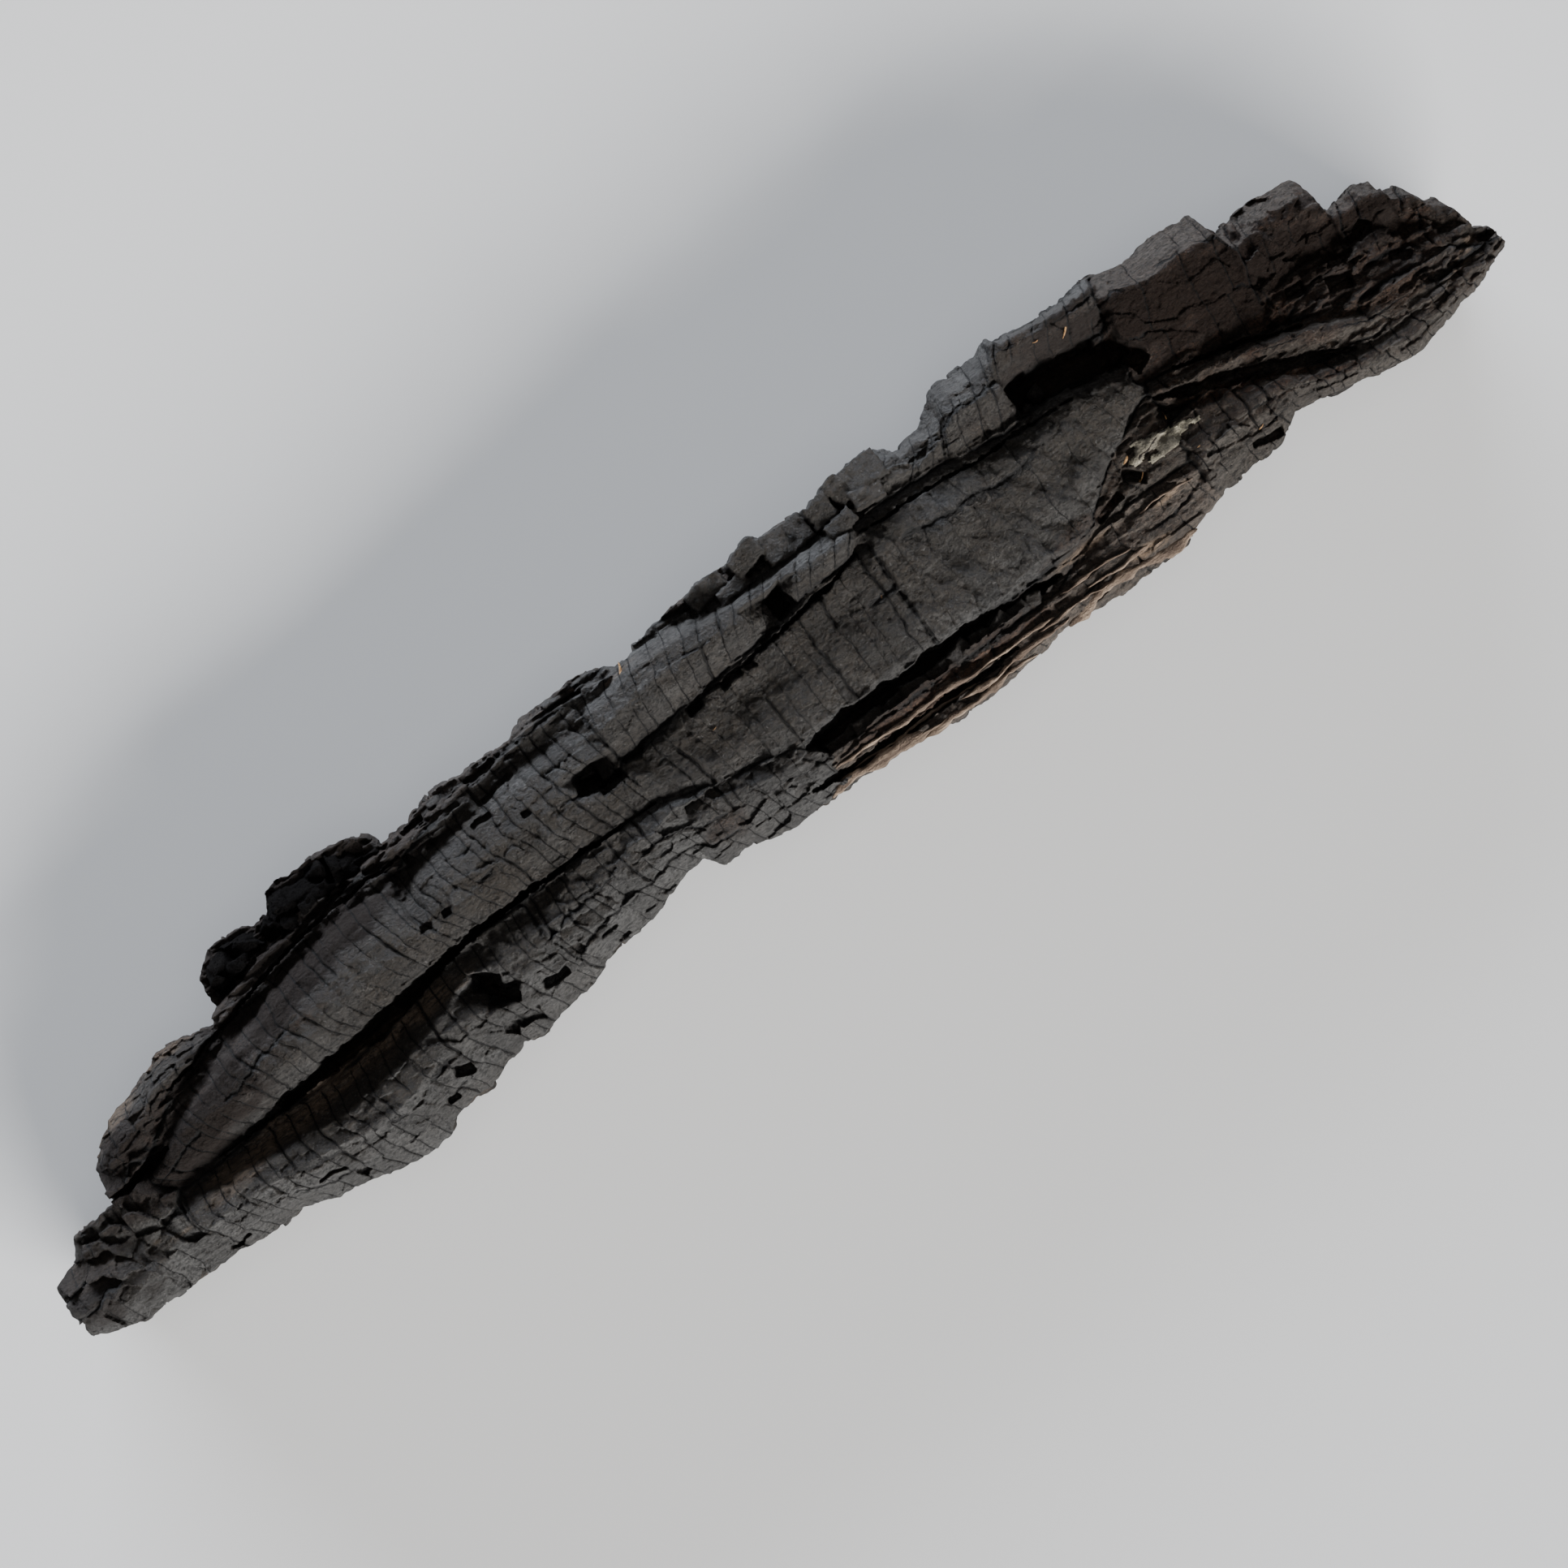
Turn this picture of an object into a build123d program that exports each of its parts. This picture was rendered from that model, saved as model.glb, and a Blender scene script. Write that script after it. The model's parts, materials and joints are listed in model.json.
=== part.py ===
"""A charred stick: a 600 mm length of split, part-burnt wood that lies flat.

A band of sound heartwood runs through the middle. Fire has turned everything round it
to charcoal, and shrinkage has split that charcoal lengthwise into ridges, plates and
slabs, and crosswise into blocks. Each ridge, plate, slab and block is its own solid.

The frame is in millimetres: +X along the stick, towards the burnt hollow, +Y towards
the long rolls, +Z up. The stick rests on Z = 0 and the origin is the middle of its
footprint's box. The layers, from the ground up, are the underside char, the heartwood,
and the ridges that stand on the heartwood's flat top, the deck.
"""

import os

from build123d import *

# Driving dimensions ---------------------------------------------------------------
HALF_LENGTH = 300.0  # from the middle to the tip at either end
CORE_FLOOR = 16.0  # height of the heartwood's underside
DECK = 30.0  # height of the heartwood's top, which carries the ridges
BELLY = 7.0  # height where the underside char starts to curve in
CORE_FLOOR_SHARE = 0.92  # width of the heartwood's underside, as a share of the deck's
BELLY_SHARE = 0.78  # the same, where the underside curves in
FOOT_SHARE = 0.5  # the same, for the flat that the stick rests on
CHECK = 0.4  # width of an open crosswise crack between two pieces in a row

# The deck's outline: distance along the stick, near edge and far edge.
OUTLINE = [
    (-HALF_LENGTH, -37, -17),
    (-285, -42, -9),
    (-266, -43, 3),
    (-254, -44, 15),
    (-231, -44, 24),
    (-204, -48, 26),
    (-182, -52, 44),
    (-165, -53, 46),
    (-150, -48, 50),
    (-126, -43, 44),
    (-97, -40, 42),
    (-43, -29, 45),
    (-16, -36, 44),
    (11, -37, 46),
    (65, -40, 50),
    (92, -39, 45),
    (114, -39, 54),
    (146, -39, 54),
    (173, -31, 53),
    (200, -29, 51),
    (221, -26, 50),
    (256, -32, 40),
    (281, -26, 18),
    (HALF_LENGTH, -19, -15),
]

# Ridges, plates and slabs on the deck. A station is the distance along the stick, the
# near and far edges, and the heights of the top at five even steps between them.
LEFT_END = {
    "left_end_stub": [
        (-HALF_LENGTH, -37, -17, (33, 38, 39, 37, 33)),
        (-294, -39, -15, (36, 41, 42, 40, 34)),
        (-285, -42, -9, (35, 43, 45, 42, 36)),
        (-265, -43, -7, (33, 44, 47, 44, 36)),
        (-250, -44, -7, (32, 45, 48, 45, 36)),
    ],
    "curled_lip": [
        (-265, 2, 9, (34, 40, 42, 40, 35)),
        (-261, -2, 10, (36, 44, 46, 44, 38)),
        (-254, -4, 15, (38, 46, 49, 46, 38)),
        (-243, 1, 20, (38, 47, 50, 46, 37)),
        (-231, 9, 24, (44, 49, 49, 45, 36)),
        (-217, 14, 26, (45, 48, 47, 43, 36)),
        (-199, 20, 25, (40, 42, 42, 40, 35)),
    ],
}
LOWER_RIDGES = {
    "left_lower_ridge": [
        (-249.5, -44, -16, (32, 43, 48, 47, 40)),
        (-231, -44, -16, (32, 44, 50, 48, 38)),
        (-204, -48, -17, (31, 45, 52, 49, 37)),
        (-182, -52.5, -18, (31, 44, 52, 50, 37)),
        (-172, -54.5, -17, (31, 43, 52, 51, 38)),
        (-159, -52.5, -16, (31, 44, 52, 51, 40)),
        (-137, -47, -10.5, (31, 44, 52, 52, 44)),
        (-124, -42.5, -7, (31, 44, 51, 52, 46)),
        (-97, -40, -6, (32, 45, 51, 53, 49)),
    ],
    "middle_lower_ridge": [
        (-96.5, -40, -6, (32, 45, 51, 53, 49)),
        (-70, -35, -4.5, (33, 45, 51, 54, 52)),
        (-43, -28, -4.5, (36, 46, 51, 54, 53)),
        (-34, -34, -7.5, (34, 45, 51, 53, 52)),
        (-16, -36, -12, (33, 43, 49, 52, 52)),
        (11, -36.5, -17, (33, 41, 46, 49, 50)),
    ],
}
UPPER_RIDGES = {
    "left_upper_ridge": [
        (-249.5, -15, -5, (38, 42, 44, 44, 42)),
        (-231, -14, 7, (40, 48, 50, 50, 44)),
        (-204, -11, 16, (46, 54, 56, 54, 42)),
        (-177, -8, 25, (50, 57, 58, 54, 42)),
        (-150, -4, 30, (52, 58, 58, 54, 43)),
        (-128, -3, 31, (52, 57, 57, 53, 42)),
    ],
    "middle_upper_ridge": [
        (-127.6, -3, 22, (50, 54, 53, 49, 40)),
        (-118, -2.5, 28, (51, 55, 55, 52, 42)),
        (-97, -2.5, 33, (51, 56, 57, 53, 43)),
        (-70, -2.5, 37, (52, 56, 58, 54, 43)),
        (-43.4, -2.5, 38, (52, 55, 58, 54, 43)),
    ],
    "trough_plate_left": [
        (-43, -3, 14, (53, 54, 54, 53, 52)),
        (-16, -11, 16, (52, 54, 53, 53, 53)),
        (11, -15.5, 18, (51, 53, 52, 52, 54)),
        (38, -15.5, 22, (50, 52, 52, 52, 54)),
        (65, -15.5, 24, (50, 52, 52, 53, 54)),
    ],
    "trough_plate_right": [
        (65.6, -15.5, 32.5, (50, 52, 52, 55, 52)),
        (92, -15.5, 32, (50, 52, 52, 55, 53)),
        (119, -15, 28, (49, 51, 51, 54, 52)),
        (132, -11.5, 26, (49, 51, 51, 53, 51)),
        (152, 3, 25.5, (47, 50, 51, 51, 49)),
        (162, 8, 24, (46, 49, 50, 50, 47)),
        (170, 13, 20, (44, 46, 47, 46, 44)),
    ],
    "middle_top_roll": [
        (-42.6, 14.6, 38, (50, 58, 60, 56, 43)),
        (-16, 16.6, 43, (50, 58, 60, 56, 42)),
        (11, 18.8, 38.5, (52, 59, 61, 58, 44)),
        (38, 22.8, 37.5, (53, 59, 60, 57, 46)),
        (65, 24.8, 36.5, (54, 58, 59, 56, 46)),
    ],
}
BACK_RIM = {
    "knot_lump_outer": [
        (-198, 26.5, 38, (38, 42, 43, 41, 34)),
        (-188, 26.5, 45, (38, 44, 45, 42, 33)),
        (-175, 28, 45, (39, 43, 44, 42, 34)),
        (-165.4, 29.5, 43, (38, 42, 43, 40, 34)),
    ],
    "knot_lump_inner": [
        (-165, 30.5, 46, (39, 45, 46, 44, 34)),
        (-160, 31.5, 50, (40, 47, 49, 46, 34)),
        (-148, 32.5, 50, (40, 47, 48, 45, 33)),
        (-134, 33.5, 48, (39, 45, 46, 43, 33)),
        (-126, 33.5, 44, (37, 41, 42, 40, 33)),
    ],
    "top_edge_flakes": [
        (-122, 30, 38, (36, 40, 41, 40, 34)),
        (-97, 34, 43, (38, 43, 44, 42, 35)),
        (-70, 37.6, 43, (39, 44, 44, 42, 35)),
        (-43, 38.6, 46, (40, 45, 45, 43, 34)),
        (-26, 43, 44, (38, 40, 40, 39, 34)),
    ],
    "back_edge_band": [
        (65.6, 33.2, 44, (46, 52, 52, 48, 36)),
        (92, 32.8, 45, (47, 53, 53, 49, 36)),
        (106, 31, 46, (48, 54, 55, 51, 36)),
    ],
}
RIGHT_END = {
    "right_roll_root": [
        (106.4, 31, 46, (48, 54, 55, 51, 36)),
        (114, 29, 54, (46, 56, 60, 56, 36)),
        (131.6, 27, 54.5, (46, 56, 60, 56, 36)),
    ],
    "right_roll_bridge": [
        (132, 42, 54.5, (50, 57, 60, 60, 40)),
        (150, 42, 54, (50, 57, 60, 60, 40)),
        (173, 38, 53.5, (50, 57, 60, 60, 40)),
    ],
    "right_roll_wall": [
        (173.4, 15, 53, (42, 48, 55, 58, 38)),
        (200, 9, 51.5, (40, 45, 52, 57, 37)),
        (221, 5, 50, (38, 42, 48, 55, 36)),
    ],
    "fractured_wall": [
        (221.4, 5, 42, (38, 41, 45, 48, 36)),
        (236, 11, 42.5, (36, 42, 47, 49, 36)),
        (252, 11, 41, (35, 42, 48, 49, 36)),
        (256, 11, 36, (35, 40, 44, 44, 35)),
    ],
    "hollow_rim": [
        (256.4, 6, 27, (34, 38, 43, 45, 36)),
        (272, 2, 26, (33, 37, 42, 45, 36)),
        (281, -5, 18, (33, 37, 42, 44, 36)),
        (290, -11, 7, (33, 37, 41, 42, 35)),
        (HALF_LENGTH, -16, -15, (33, 35, 36, 35, 33)),
    ],
    "long_strand": [
        (173.4, 4, 13, (36, 44, 46, 45, 40)),
        (200, 0, 7, (37, 45, 47, 46, 40)),
        (226, -9.5, -1, (37, 44, 46, 45, 39)),
        (245, -17, -8, (36, 42, 44, 42, 36)),
        (268, -18, -10, (35, 39, 41, 39, 34)),
    ],
    "right_lower_slab": [
        (170.4, -31, -3, (34, 44, 48, 48, 44)),
        (186, -30, -3, (35, 44, 48, 48, 44)),
        (200, -29, -6, (35, 43, 47, 47, 43)),
        (213, -24, -12, (36, 42, 46, 46, 42)),
        (226, -26, -17, (34, 40, 43, 43, 40)),
        (245, -31, -20, (33, 39, 42, 42, 39)),
        (272, -28, -19, (33, 38, 41, 41, 38)),
        (HALF_LENGTH, -19, -16.5, (33, 35, 36, 36, 34)),
    ],
}
WOOD = {
    "sapwood_slab": [
        (14, -37, -29, (32, 36, 37, 37, 37)),
        (38, -39, -29, (32, 36, 37, 37, 37)),
        (65, -40, -29, (32, 36, 37, 37, 37)),
        (110, -38.5, -29, (32, 36, 37, 37, 37)),
        (132, -39, -18, (32, 37, 39, 39, 39)),
        (152, -38, -17, (33, 38, 40, 40, 40)),
        (170, -31, -17, (34, 39, 40, 40, 40)),
    ],
    "brown_shoulder": [
        (134, -15, -13, (42, 44, 44, 44, 43)),
        (146, -15, -3, (42, 44, 44, 44, 43)),
        (156, -15, 2, (42, 44, 44, 44, 43)),
        (170, -15, 8, (42, 44, 44, 44, 42)),
    ],
}

# Pockets that fire has eaten into a ridge: corner points seen from above, and how deep.
POCKETS = {
    "left_lower_ridge": ([(-131, -17), (-121, -15), (-114, -24), (-122, -28)], 14.0),
    "middle_upper_ridge": ([(-59, 20), (-45, 19), (-46, 9), (-55, 12)], 16.0),
    "middle_top_roll": ([(22, 31), (36, 31), (33, 20), (24, 20)], 15.0),
}
POCKET_ROOF = 70.0  # above every ridge, so that a pocket is open to the sky

# The underside char is one layer, cracked across into these stretches.
UNDERSIDE_CRACKS = (-292, -150, 0, 150, 292)

# Small loose pieces.
TOP_BLOCKS = [  # near-cubic char blocks: x, y, length, width, height, turn in degrees
    (17, 43.8, 15, 7, 19, 8),
    (34, 43.5, 14, 8, 21, -10),
    (47, 43.0, 9, 7, 17, 5),
    (59, 42.5, 11, 7, 20, -6),
]
CRUMBS = [  # char crumbs lying in the split: x, y, length, width, height, turn
    (70, -22, 9, 5, 4, 20),
    (80, -24, 7, 5, 5, -15),
    (90, -21, 8, 6, 5, 35),
    (99, -24, 6, 5, 4, 10),
    (106, -21, 5, 4, 4, -30),
]
SPLINTERS = [  # strands of pale wood on the sapwood slab: x from, x to, y, width, height
    (20, 64, -31.5, 2.4, 2.6),
    (50, 108, -33.5, 2.2, 2.2),
    (72, 110, -30.5, 1.6, 3.0),
]
LICHEN = [(140, -9), (146, -5), (153, -3), (160, -5), (163, -9), (155, -11), (147, -10)]
LICHEN_THICKNESS = 1.2
FLECKS = [  # dry needle bits: x, y, seat, length, width, turn in degrees
    (151, -13.0, 44, 3.4, 1.3, 40),
    (158, 1.0, 44, 6, 1.2, 70),
    (160, 49.5, 60, 6, 1.3, 55),
    (146, 49.2, 60, 3, 1.0, 10),
]
FLECK_HEIGHT = 0.8
SPLINTER_SEAT = 37.0  # top of the sapwood slab's flat, beside the split
WOOD_SEAT = 44.0  # top of the brown shoulder's flat


def export(solid, name):
    """Writes one labelled piece to its own file."""
    solid.label = name
    export_step(solid, f"parts/{name}.step")


def edges_at(x):
    """The deck outline's near and far edges at x, on the straight between two stations."""
    for (x0, near0, far0), (x1, near1, far1) in zip(OUTLINE, OUTLINE[1:]):
        if x0 <= x <= x1:
            share = (x - x0) / (x1 - x0)
            return near0 + share * (near1 - near0), far0 + share * (far1 - far0)
    raise ValueError(f"{x} is past the end of the stick")


def band(x, levels):
    """A section through a layer: (height, share of the deck's width) from the ground up."""
    near, far = edges_at(x)
    middle, half = (near + far) / 2, (far - near) / 2
    near_side = [(middle - half * share, z) for z, share in levels]
    far_side = [(middle + half * share, z) for z, share in reversed(levels)]
    return near_side + far_side


def ridge_section(near, far, heights):
    """A section through a ridge: flat on the deck, with its top at five even steps."""
    step = (far - near) / (len(heights) - 1)
    top = [(near + i * step, z) for i, z in enumerate(heights)]
    return [(near, DECK), *top, (far, DECK)]


def lofted(sections):
    """A solid with straight facets through closed sections, each across the stick at x."""
    with BuildPart() as piece:
        for x, outline in sections:
            with BuildSketch(Plane.YZ.offset(x)):
                with BuildLine():
                    Polyline(*outline, close=True)
                make_face()
        loft(ruled=True)
    return piece.part


def layer(x_from, x_to, levels):
    """A stretch of one of the two lower layers, with a section at each outline station."""
    inner = [x for x, _, _ in OUTLINE if x_from < x < x_to]
    return lofted([(x, band(x, levels)) for x in (x_from, *inner, x_to)])


def ridge(name, stations):
    """A ridge, plate or slab on the deck, with any pocket burnt into it."""
    body = lofted([(x, ridge_section(near, far, tops)) for x, near, far, tops in stations])
    if name not in POCKETS:
        return body
    corners, depth = POCKETS[name]
    floor = max(z for *_, tops in stations for z in tops) - depth
    with BuildPart() as piece:
        add(body)
        with BuildSketch(Plane.XY.offset(floor)):
            with BuildLine():
                Polyline(*corners, close=True)
            make_face()
        extrude(amount=POCKET_ROOF - floor, mode=Mode.SUBTRACT)
    return piece.part


def blocks(rows, seat, bevel):
    """Loose blocks with bevelled tops, standing on a flat at the given height."""
    with BuildPart() as group:
        for x, y, length, width, height, turn in rows:
            with Locations(Location((x, y, seat), (0, 0, turn))):
                Box(length, width, height, align=(Align.CENTER, Align.CENTER, Align.MIN))
        tops = group.edges().filter_by(lambda edge: edge.center().Z > seat + 1)
        chamfer(tops.filter_by(Plane.XY), length=bevel)
    return group.part


def strands(rows, seat):
    """Slivers of wood lying along the stick, thin at both ends and full in the middle."""
    with BuildPart() as group:
        for x_from, x_to, y, width, height in rows:
            for x, share in ((x_from, 0.3), ((x_from + x_to) / 2, 1.0), (x_to, 0.25)):
                half = width / 2 * share
                with BuildSketch(Plane.YZ.offset(x)):
                    with BuildLine():
                        Polyline(
                            (y - half, seat),
                            (y + half, seat),
                            (y, seat + height * share),
                            close=True,
                        )
                    make_face()
            loft(ruled=True)
    return group.part


def crust(corners, seat, thickness):
    """A thin patch growing on a flat."""
    with BuildPart() as patch:
        with BuildSketch(Plane.XY.offset(seat)):
            with BuildLine():
                Polyline(*corners, close=True)
            make_face()
        extrude(amount=thickness)
    return patch.part


def flecks(rows, height):
    """Needle bits lying flat where they fell."""
    with BuildPart() as group:
        for x, y, seat, length, width, turn in rows:
            with Locations(Location((x, y, seat), (0, 0, turn))):
                Box(length, width, height, align=(Align.CENTER, Align.CENTER, Align.MIN))
    return group.part


os.makedirs("parts", exist_ok=True)

core_levels = [(CORE_FLOOR, CORE_FLOOR_SHARE), (DECK, 1.0)]
export(layer(-HALF_LENGTH, HALF_LENGTH, core_levels), "heartwood_core")

under_levels = [(0, FOOT_SHARE), (BELLY, BELLY_SHARE), (CORE_FLOOR, CORE_FLOOR_SHARE)]
for number, (start, end) in enumerate(zip(UNDERSIDE_CRACKS, UNDERSIDE_CRACKS[1:]), 1):
    stretch = layer(start + CHECK / 2, end - CHECK / 2, under_levels)
    export(stretch, f"underside_char_{number}")

for group in (LEFT_END, LOWER_RIDGES, UPPER_RIDGES, BACK_RIM, RIGHT_END, WOOD):
    for name, stations in group.items():
        export(ridge(name, stations), name)

export(blocks(TOP_BLOCKS, DECK, bevel=1.2), "top_edge_blocks")
export(blocks(CRUMBS, DECK, bevel=0.8), "split_crumbs")
export(strands(SPLINTERS, SPLINTER_SEAT), "pale_splinters")
export(crust(LICHEN, WOOD_SEAT, LICHEN_THICKNESS), "lichen_crust")
export(flecks(FLECKS, FLECK_HEIGHT), "litter_flecks")
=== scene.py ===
"""Looks for the charred stick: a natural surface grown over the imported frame.

The CAD says where each ridge, plate and slab of charcoal is. This script reads those
solids as height profiles, adds the outline, the shrinkage checks, the pits and the
broken facets, and turns the result into one block of voxels in which every voxel
belongs to one piece. Each piece's mesh is the skin of its own voxels, so neighbours
meet exactly. Lengths are in millimetres until a mesh is made; Blender gets metres.
"""

import json
import math
from itertools import product

import bpy
import numpy as np
from mathutils import Matrix, Vector


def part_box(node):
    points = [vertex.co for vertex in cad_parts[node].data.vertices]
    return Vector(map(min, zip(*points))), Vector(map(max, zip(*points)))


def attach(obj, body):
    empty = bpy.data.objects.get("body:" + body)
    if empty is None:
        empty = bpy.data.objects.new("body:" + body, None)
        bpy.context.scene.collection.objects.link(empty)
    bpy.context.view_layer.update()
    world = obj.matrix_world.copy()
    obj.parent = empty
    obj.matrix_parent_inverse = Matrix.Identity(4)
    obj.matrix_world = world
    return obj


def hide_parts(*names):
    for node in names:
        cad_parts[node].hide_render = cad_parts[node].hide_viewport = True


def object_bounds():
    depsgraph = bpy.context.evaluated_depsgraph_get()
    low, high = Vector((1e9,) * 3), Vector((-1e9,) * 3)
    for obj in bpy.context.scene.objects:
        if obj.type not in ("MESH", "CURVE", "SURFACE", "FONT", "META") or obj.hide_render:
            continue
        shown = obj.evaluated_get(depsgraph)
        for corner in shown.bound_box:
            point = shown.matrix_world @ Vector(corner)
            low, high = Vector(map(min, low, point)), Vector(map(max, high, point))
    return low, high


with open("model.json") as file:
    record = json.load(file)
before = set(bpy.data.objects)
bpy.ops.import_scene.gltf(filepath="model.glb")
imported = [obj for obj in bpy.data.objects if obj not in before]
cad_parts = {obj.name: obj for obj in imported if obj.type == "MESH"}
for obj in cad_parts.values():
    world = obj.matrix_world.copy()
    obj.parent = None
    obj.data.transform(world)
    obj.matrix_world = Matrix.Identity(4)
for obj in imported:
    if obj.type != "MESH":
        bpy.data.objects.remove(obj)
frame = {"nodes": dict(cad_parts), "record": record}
cad_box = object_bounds()

# Numbers that drive the whole model ---------------------------------------------------
MM = 0.001
PITCH = 0.5  # voxel size
MARGIN = 3.0  # empty space round the stick, in the voxel block
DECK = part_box("heartwood_core")[1].z / MM  # top of the sound wood, floor of the splits
CORE_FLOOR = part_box("heartwood_core")[0].z / MM
SHARES = 33  # samples across a profile
NOTHING = -60.0  # height where there is nothing
INTERIOR = 4.0  # size of the facets on walls that no one sees

# The outline seen from above, from end to end: (distance along the stick, edge).
FAR_EDGE = [
    (-300, -27), (-298.5, -17), (-295, -16), (-288, -13), (-283, -6.6), (-265, -6), (-264.6, 7),
    (-258, 13), (-250, 18), (-246, 20), (-237, 21.5), (-229, 25), (-224, 27), (-215, 25.7),
    (-204, 23), (-200, 27.5), (-198.4, 39), (-194, 42.5), (-189.5, 45), (-177.5, 44.6),
    (-173.5, 42), (-167, 44), (-164, 48.5), (-160, 49.8), (-150, 49), (-140, 48.7),
    (-132, 47.5), (-125.5, 44), (-123.5, 39), (-118, 39.5), (-111.5, 39), (-110, 41),
    (-98, 43.2), (-88.5, 41.6), (-67, 42.4), (-59, 45.4), (-41.5, 46.5), (-31, 44.8),
    (-25.3, 40.5), (-17, 41), (-16, 43.8), (-6.5, 44.3), (7, 46.5), (16.5, 47.5),
    (24.5, 46), (35.3, 50), (37.5, 47.5), (54, 47), (57, 45), (70.3, 50.2), (71.6, 48.6),
    (84, 50.2), (88.6, 47), (92, 44.6), (105.8, 45.6), (114, 54.5), (132, 54.5),
    (138.8, 57.6), (139.8, 54.5), (160.5, 52.4), (179.5, 53.5), (191.5, 50.2),
    (207.5, 51.8), (218.4, 50.8), (221.6, 40), (236, 42.4), (253.4, 40.8), (254.8, 39),
    (253, 29), (256, 25.2), (269.5, 26.3), (274, 24.6), (275, 19), (280.3, 18.4),
    (285.7, 8.2), (289.2, 7.4), (292.5, -3.4), (293, -8.2), (298, -10.6), (300, -17),
]
NEAR_EDGE = [
    (-300, -37), (-295.5, -38.4), (-288, -41), (-281, -43.4), (-276, -42.8), (-242, -43),
    (-234, -44), (-212.5, -44.3), (-204.5, -48), (-191, -49.7), (-183, -52.6), (-172, -54.4),
    (-161.4, -53.2), (-157.3, -50), (-148, -47.3), (-141.7, -48), (-123.6, -42.4),
    (-117.7, -44.3), (-110, -42.4), (-92.6, -40), (-80.5, -35), (-71, -34.6), (-52.2, -30.8),
    (-49.6, -29), (-38, -28.1), (-34, -33.7), (-24, -33.8), (-7.8, -37.7), (11, -36.5),
    (18, -37.2), (38, -38), (54, -40.2), (70.3, -41), (89, -39.2), (104, -37), (113.4, -38),
    (133.6, -38.9), (145.7, -37.8), (155, -37), (167.2, -33), (176.7, -30), (198.2, -28.9),
    (205, -25.7), (209.5, -23), (213, -23.3), (226.5, -26.3), (245.3, -30.3), (254.2, -31.9),
    (272.3, -27.6), (285.7, -24.4), (300, -19),
]

# How far a crosswise check drifts along the stick by the near and the far edge of each
# row of ridges: (distance along the stick, drift by the near edge, by the far edge).
LEANS = {
    "lower": [(-300, 4, 1), (-220, 10, 1), (-100, 10, 1), (10, 7, 1), (170, 3, 0), (300, 3, 0)],
    "upper": [(-250, 8, -1), (-60, 9, -2), (-30, 4, -1), (10, 2, 0), (65, 1, 1), (170, 3, 0), (300, 2, 0)],
    "back": [(-300, 3, 2), (-60, 2, 3), (-20, -2, 4), (65, -6, 4), (110, -2, 5), (300, -1, 4)],
}

# Ridges, plates and slabs. outer names the edges that are part of the outline. spacing is
# the mean gap between checks, lanes are the shares across where the checks jog, bricks is
# how far they jog (0 to 1), rough and cell are the height and size of the broken facets,
# folds and leather are the heights of soft folds and of a fine leathery grain, curl is how
# far the far edge rolls down, and faint is how open the weakest checks are (0 to 1).
RIDGES = {
    "left_end_stub": dict(row="lower", outer="near far", spacing=11, lanes=(0.4, 0.7), bricks=1, rough=2.4, cell=(8, 11)),
    "left_lower_ridge": dict(row="lower", outer="near", spacing=6.4, lanes=(0.22, 0.45), bricks=0.6, rough=0.55, cell=(8, 5)),
    "middle_lower_ridge": dict(row="lower", outer="near", spacing=6.4, lanes=(0.3, 0.6), bricks=0.8, rough=1.2, cell=(10, 5)),
    "left_upper_ridge": dict(row="upper", outer="", spacing=5.8, lanes=(0.5,), bricks=0.15, rough=0.2, cell=(9, 7)),
    "middle_upper_ridge": dict(row="upper", outer="", spacing=6.0, lanes=(0.4, 0.7), bricks=0.25, rough=0.4, cell=(9, 7)),
    "trough_plate_left": dict(row="upper", outer="", spacing=6.4, lanes=(0.6,), bricks=0.2, rough=0.15, cell=(10, 8), folds=0.5, curl=2.0, faint=0.25),
    "trough_plate_right": dict(row="upper", outer="", spacing=8.0, lanes=(0.72,), bricks=0.3, rough=0.12, cell=(12, 10), folds=1.2, curl=2.0, faint=0.2),
    "middle_top_roll": dict(row="back", outer="", spacing=6.4, lanes=(0.5,), bricks=0.2, rough=0.3, cell=(9, 7)),
    "back_edge_band": dict(row="back", outer="far", spacing=7, lanes=(0.5,), bricks=0.5, rough=1.3, cell=(12, 4)),
    "right_roll_root": dict(row="back", outer="far", spacing=7, lanes=(0.55,), bricks=0.4, rough=0.5, cell=(9, 6)),
    "right_roll_bridge": dict(row="back", outer="far", spacing=7, lanes=(0.55,), bricks=0.2, rough=0.3, cell=(9, 7)),
    "right_roll_wall": dict(row="back", outer="far", spacing=14, lanes=(0.35, 0.75), bricks=0.4, rough=0.5, cell=(16, 12), folds=0.5, leather=0.25),
    "fractured_wall": dict(row="back", outer="far", spacing=24, lanes=(0.3, 0.6), bricks=0.9, rough=1.6, cell=(16, 11), folds=1.0, leather=0.35),
    "hollow_rim": dict(row="back", outer="far", spacing=16, lanes=(0.5,), bricks=0.8, rough=1.3, cell=(10, 7), folds=1.2, leather=0.35),
    "long_strand": dict(row="upper", outer="", spacing=22, lanes=(0.5,), bricks=0.4, rough=0.5, cell=(16, 3)),
    "right_lower_slab": dict(row="lower", outer="near", spacing=8, lanes=(0.3, 0.6), bricks=0.7, rough=0.9, cell=(14, 5)),
    "sapwood_slab": dict(row="lower", outer="near", spacing=18, lanes=(0.5,), bricks=0.8, rough=0.9, cell=(19, 4)),
    "brown_shoulder": dict(row="upper", outer="", spacing=24, lanes=(0.5,), bricks=0.5, rough=0.9, cell=(14, 4)),
}

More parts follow.
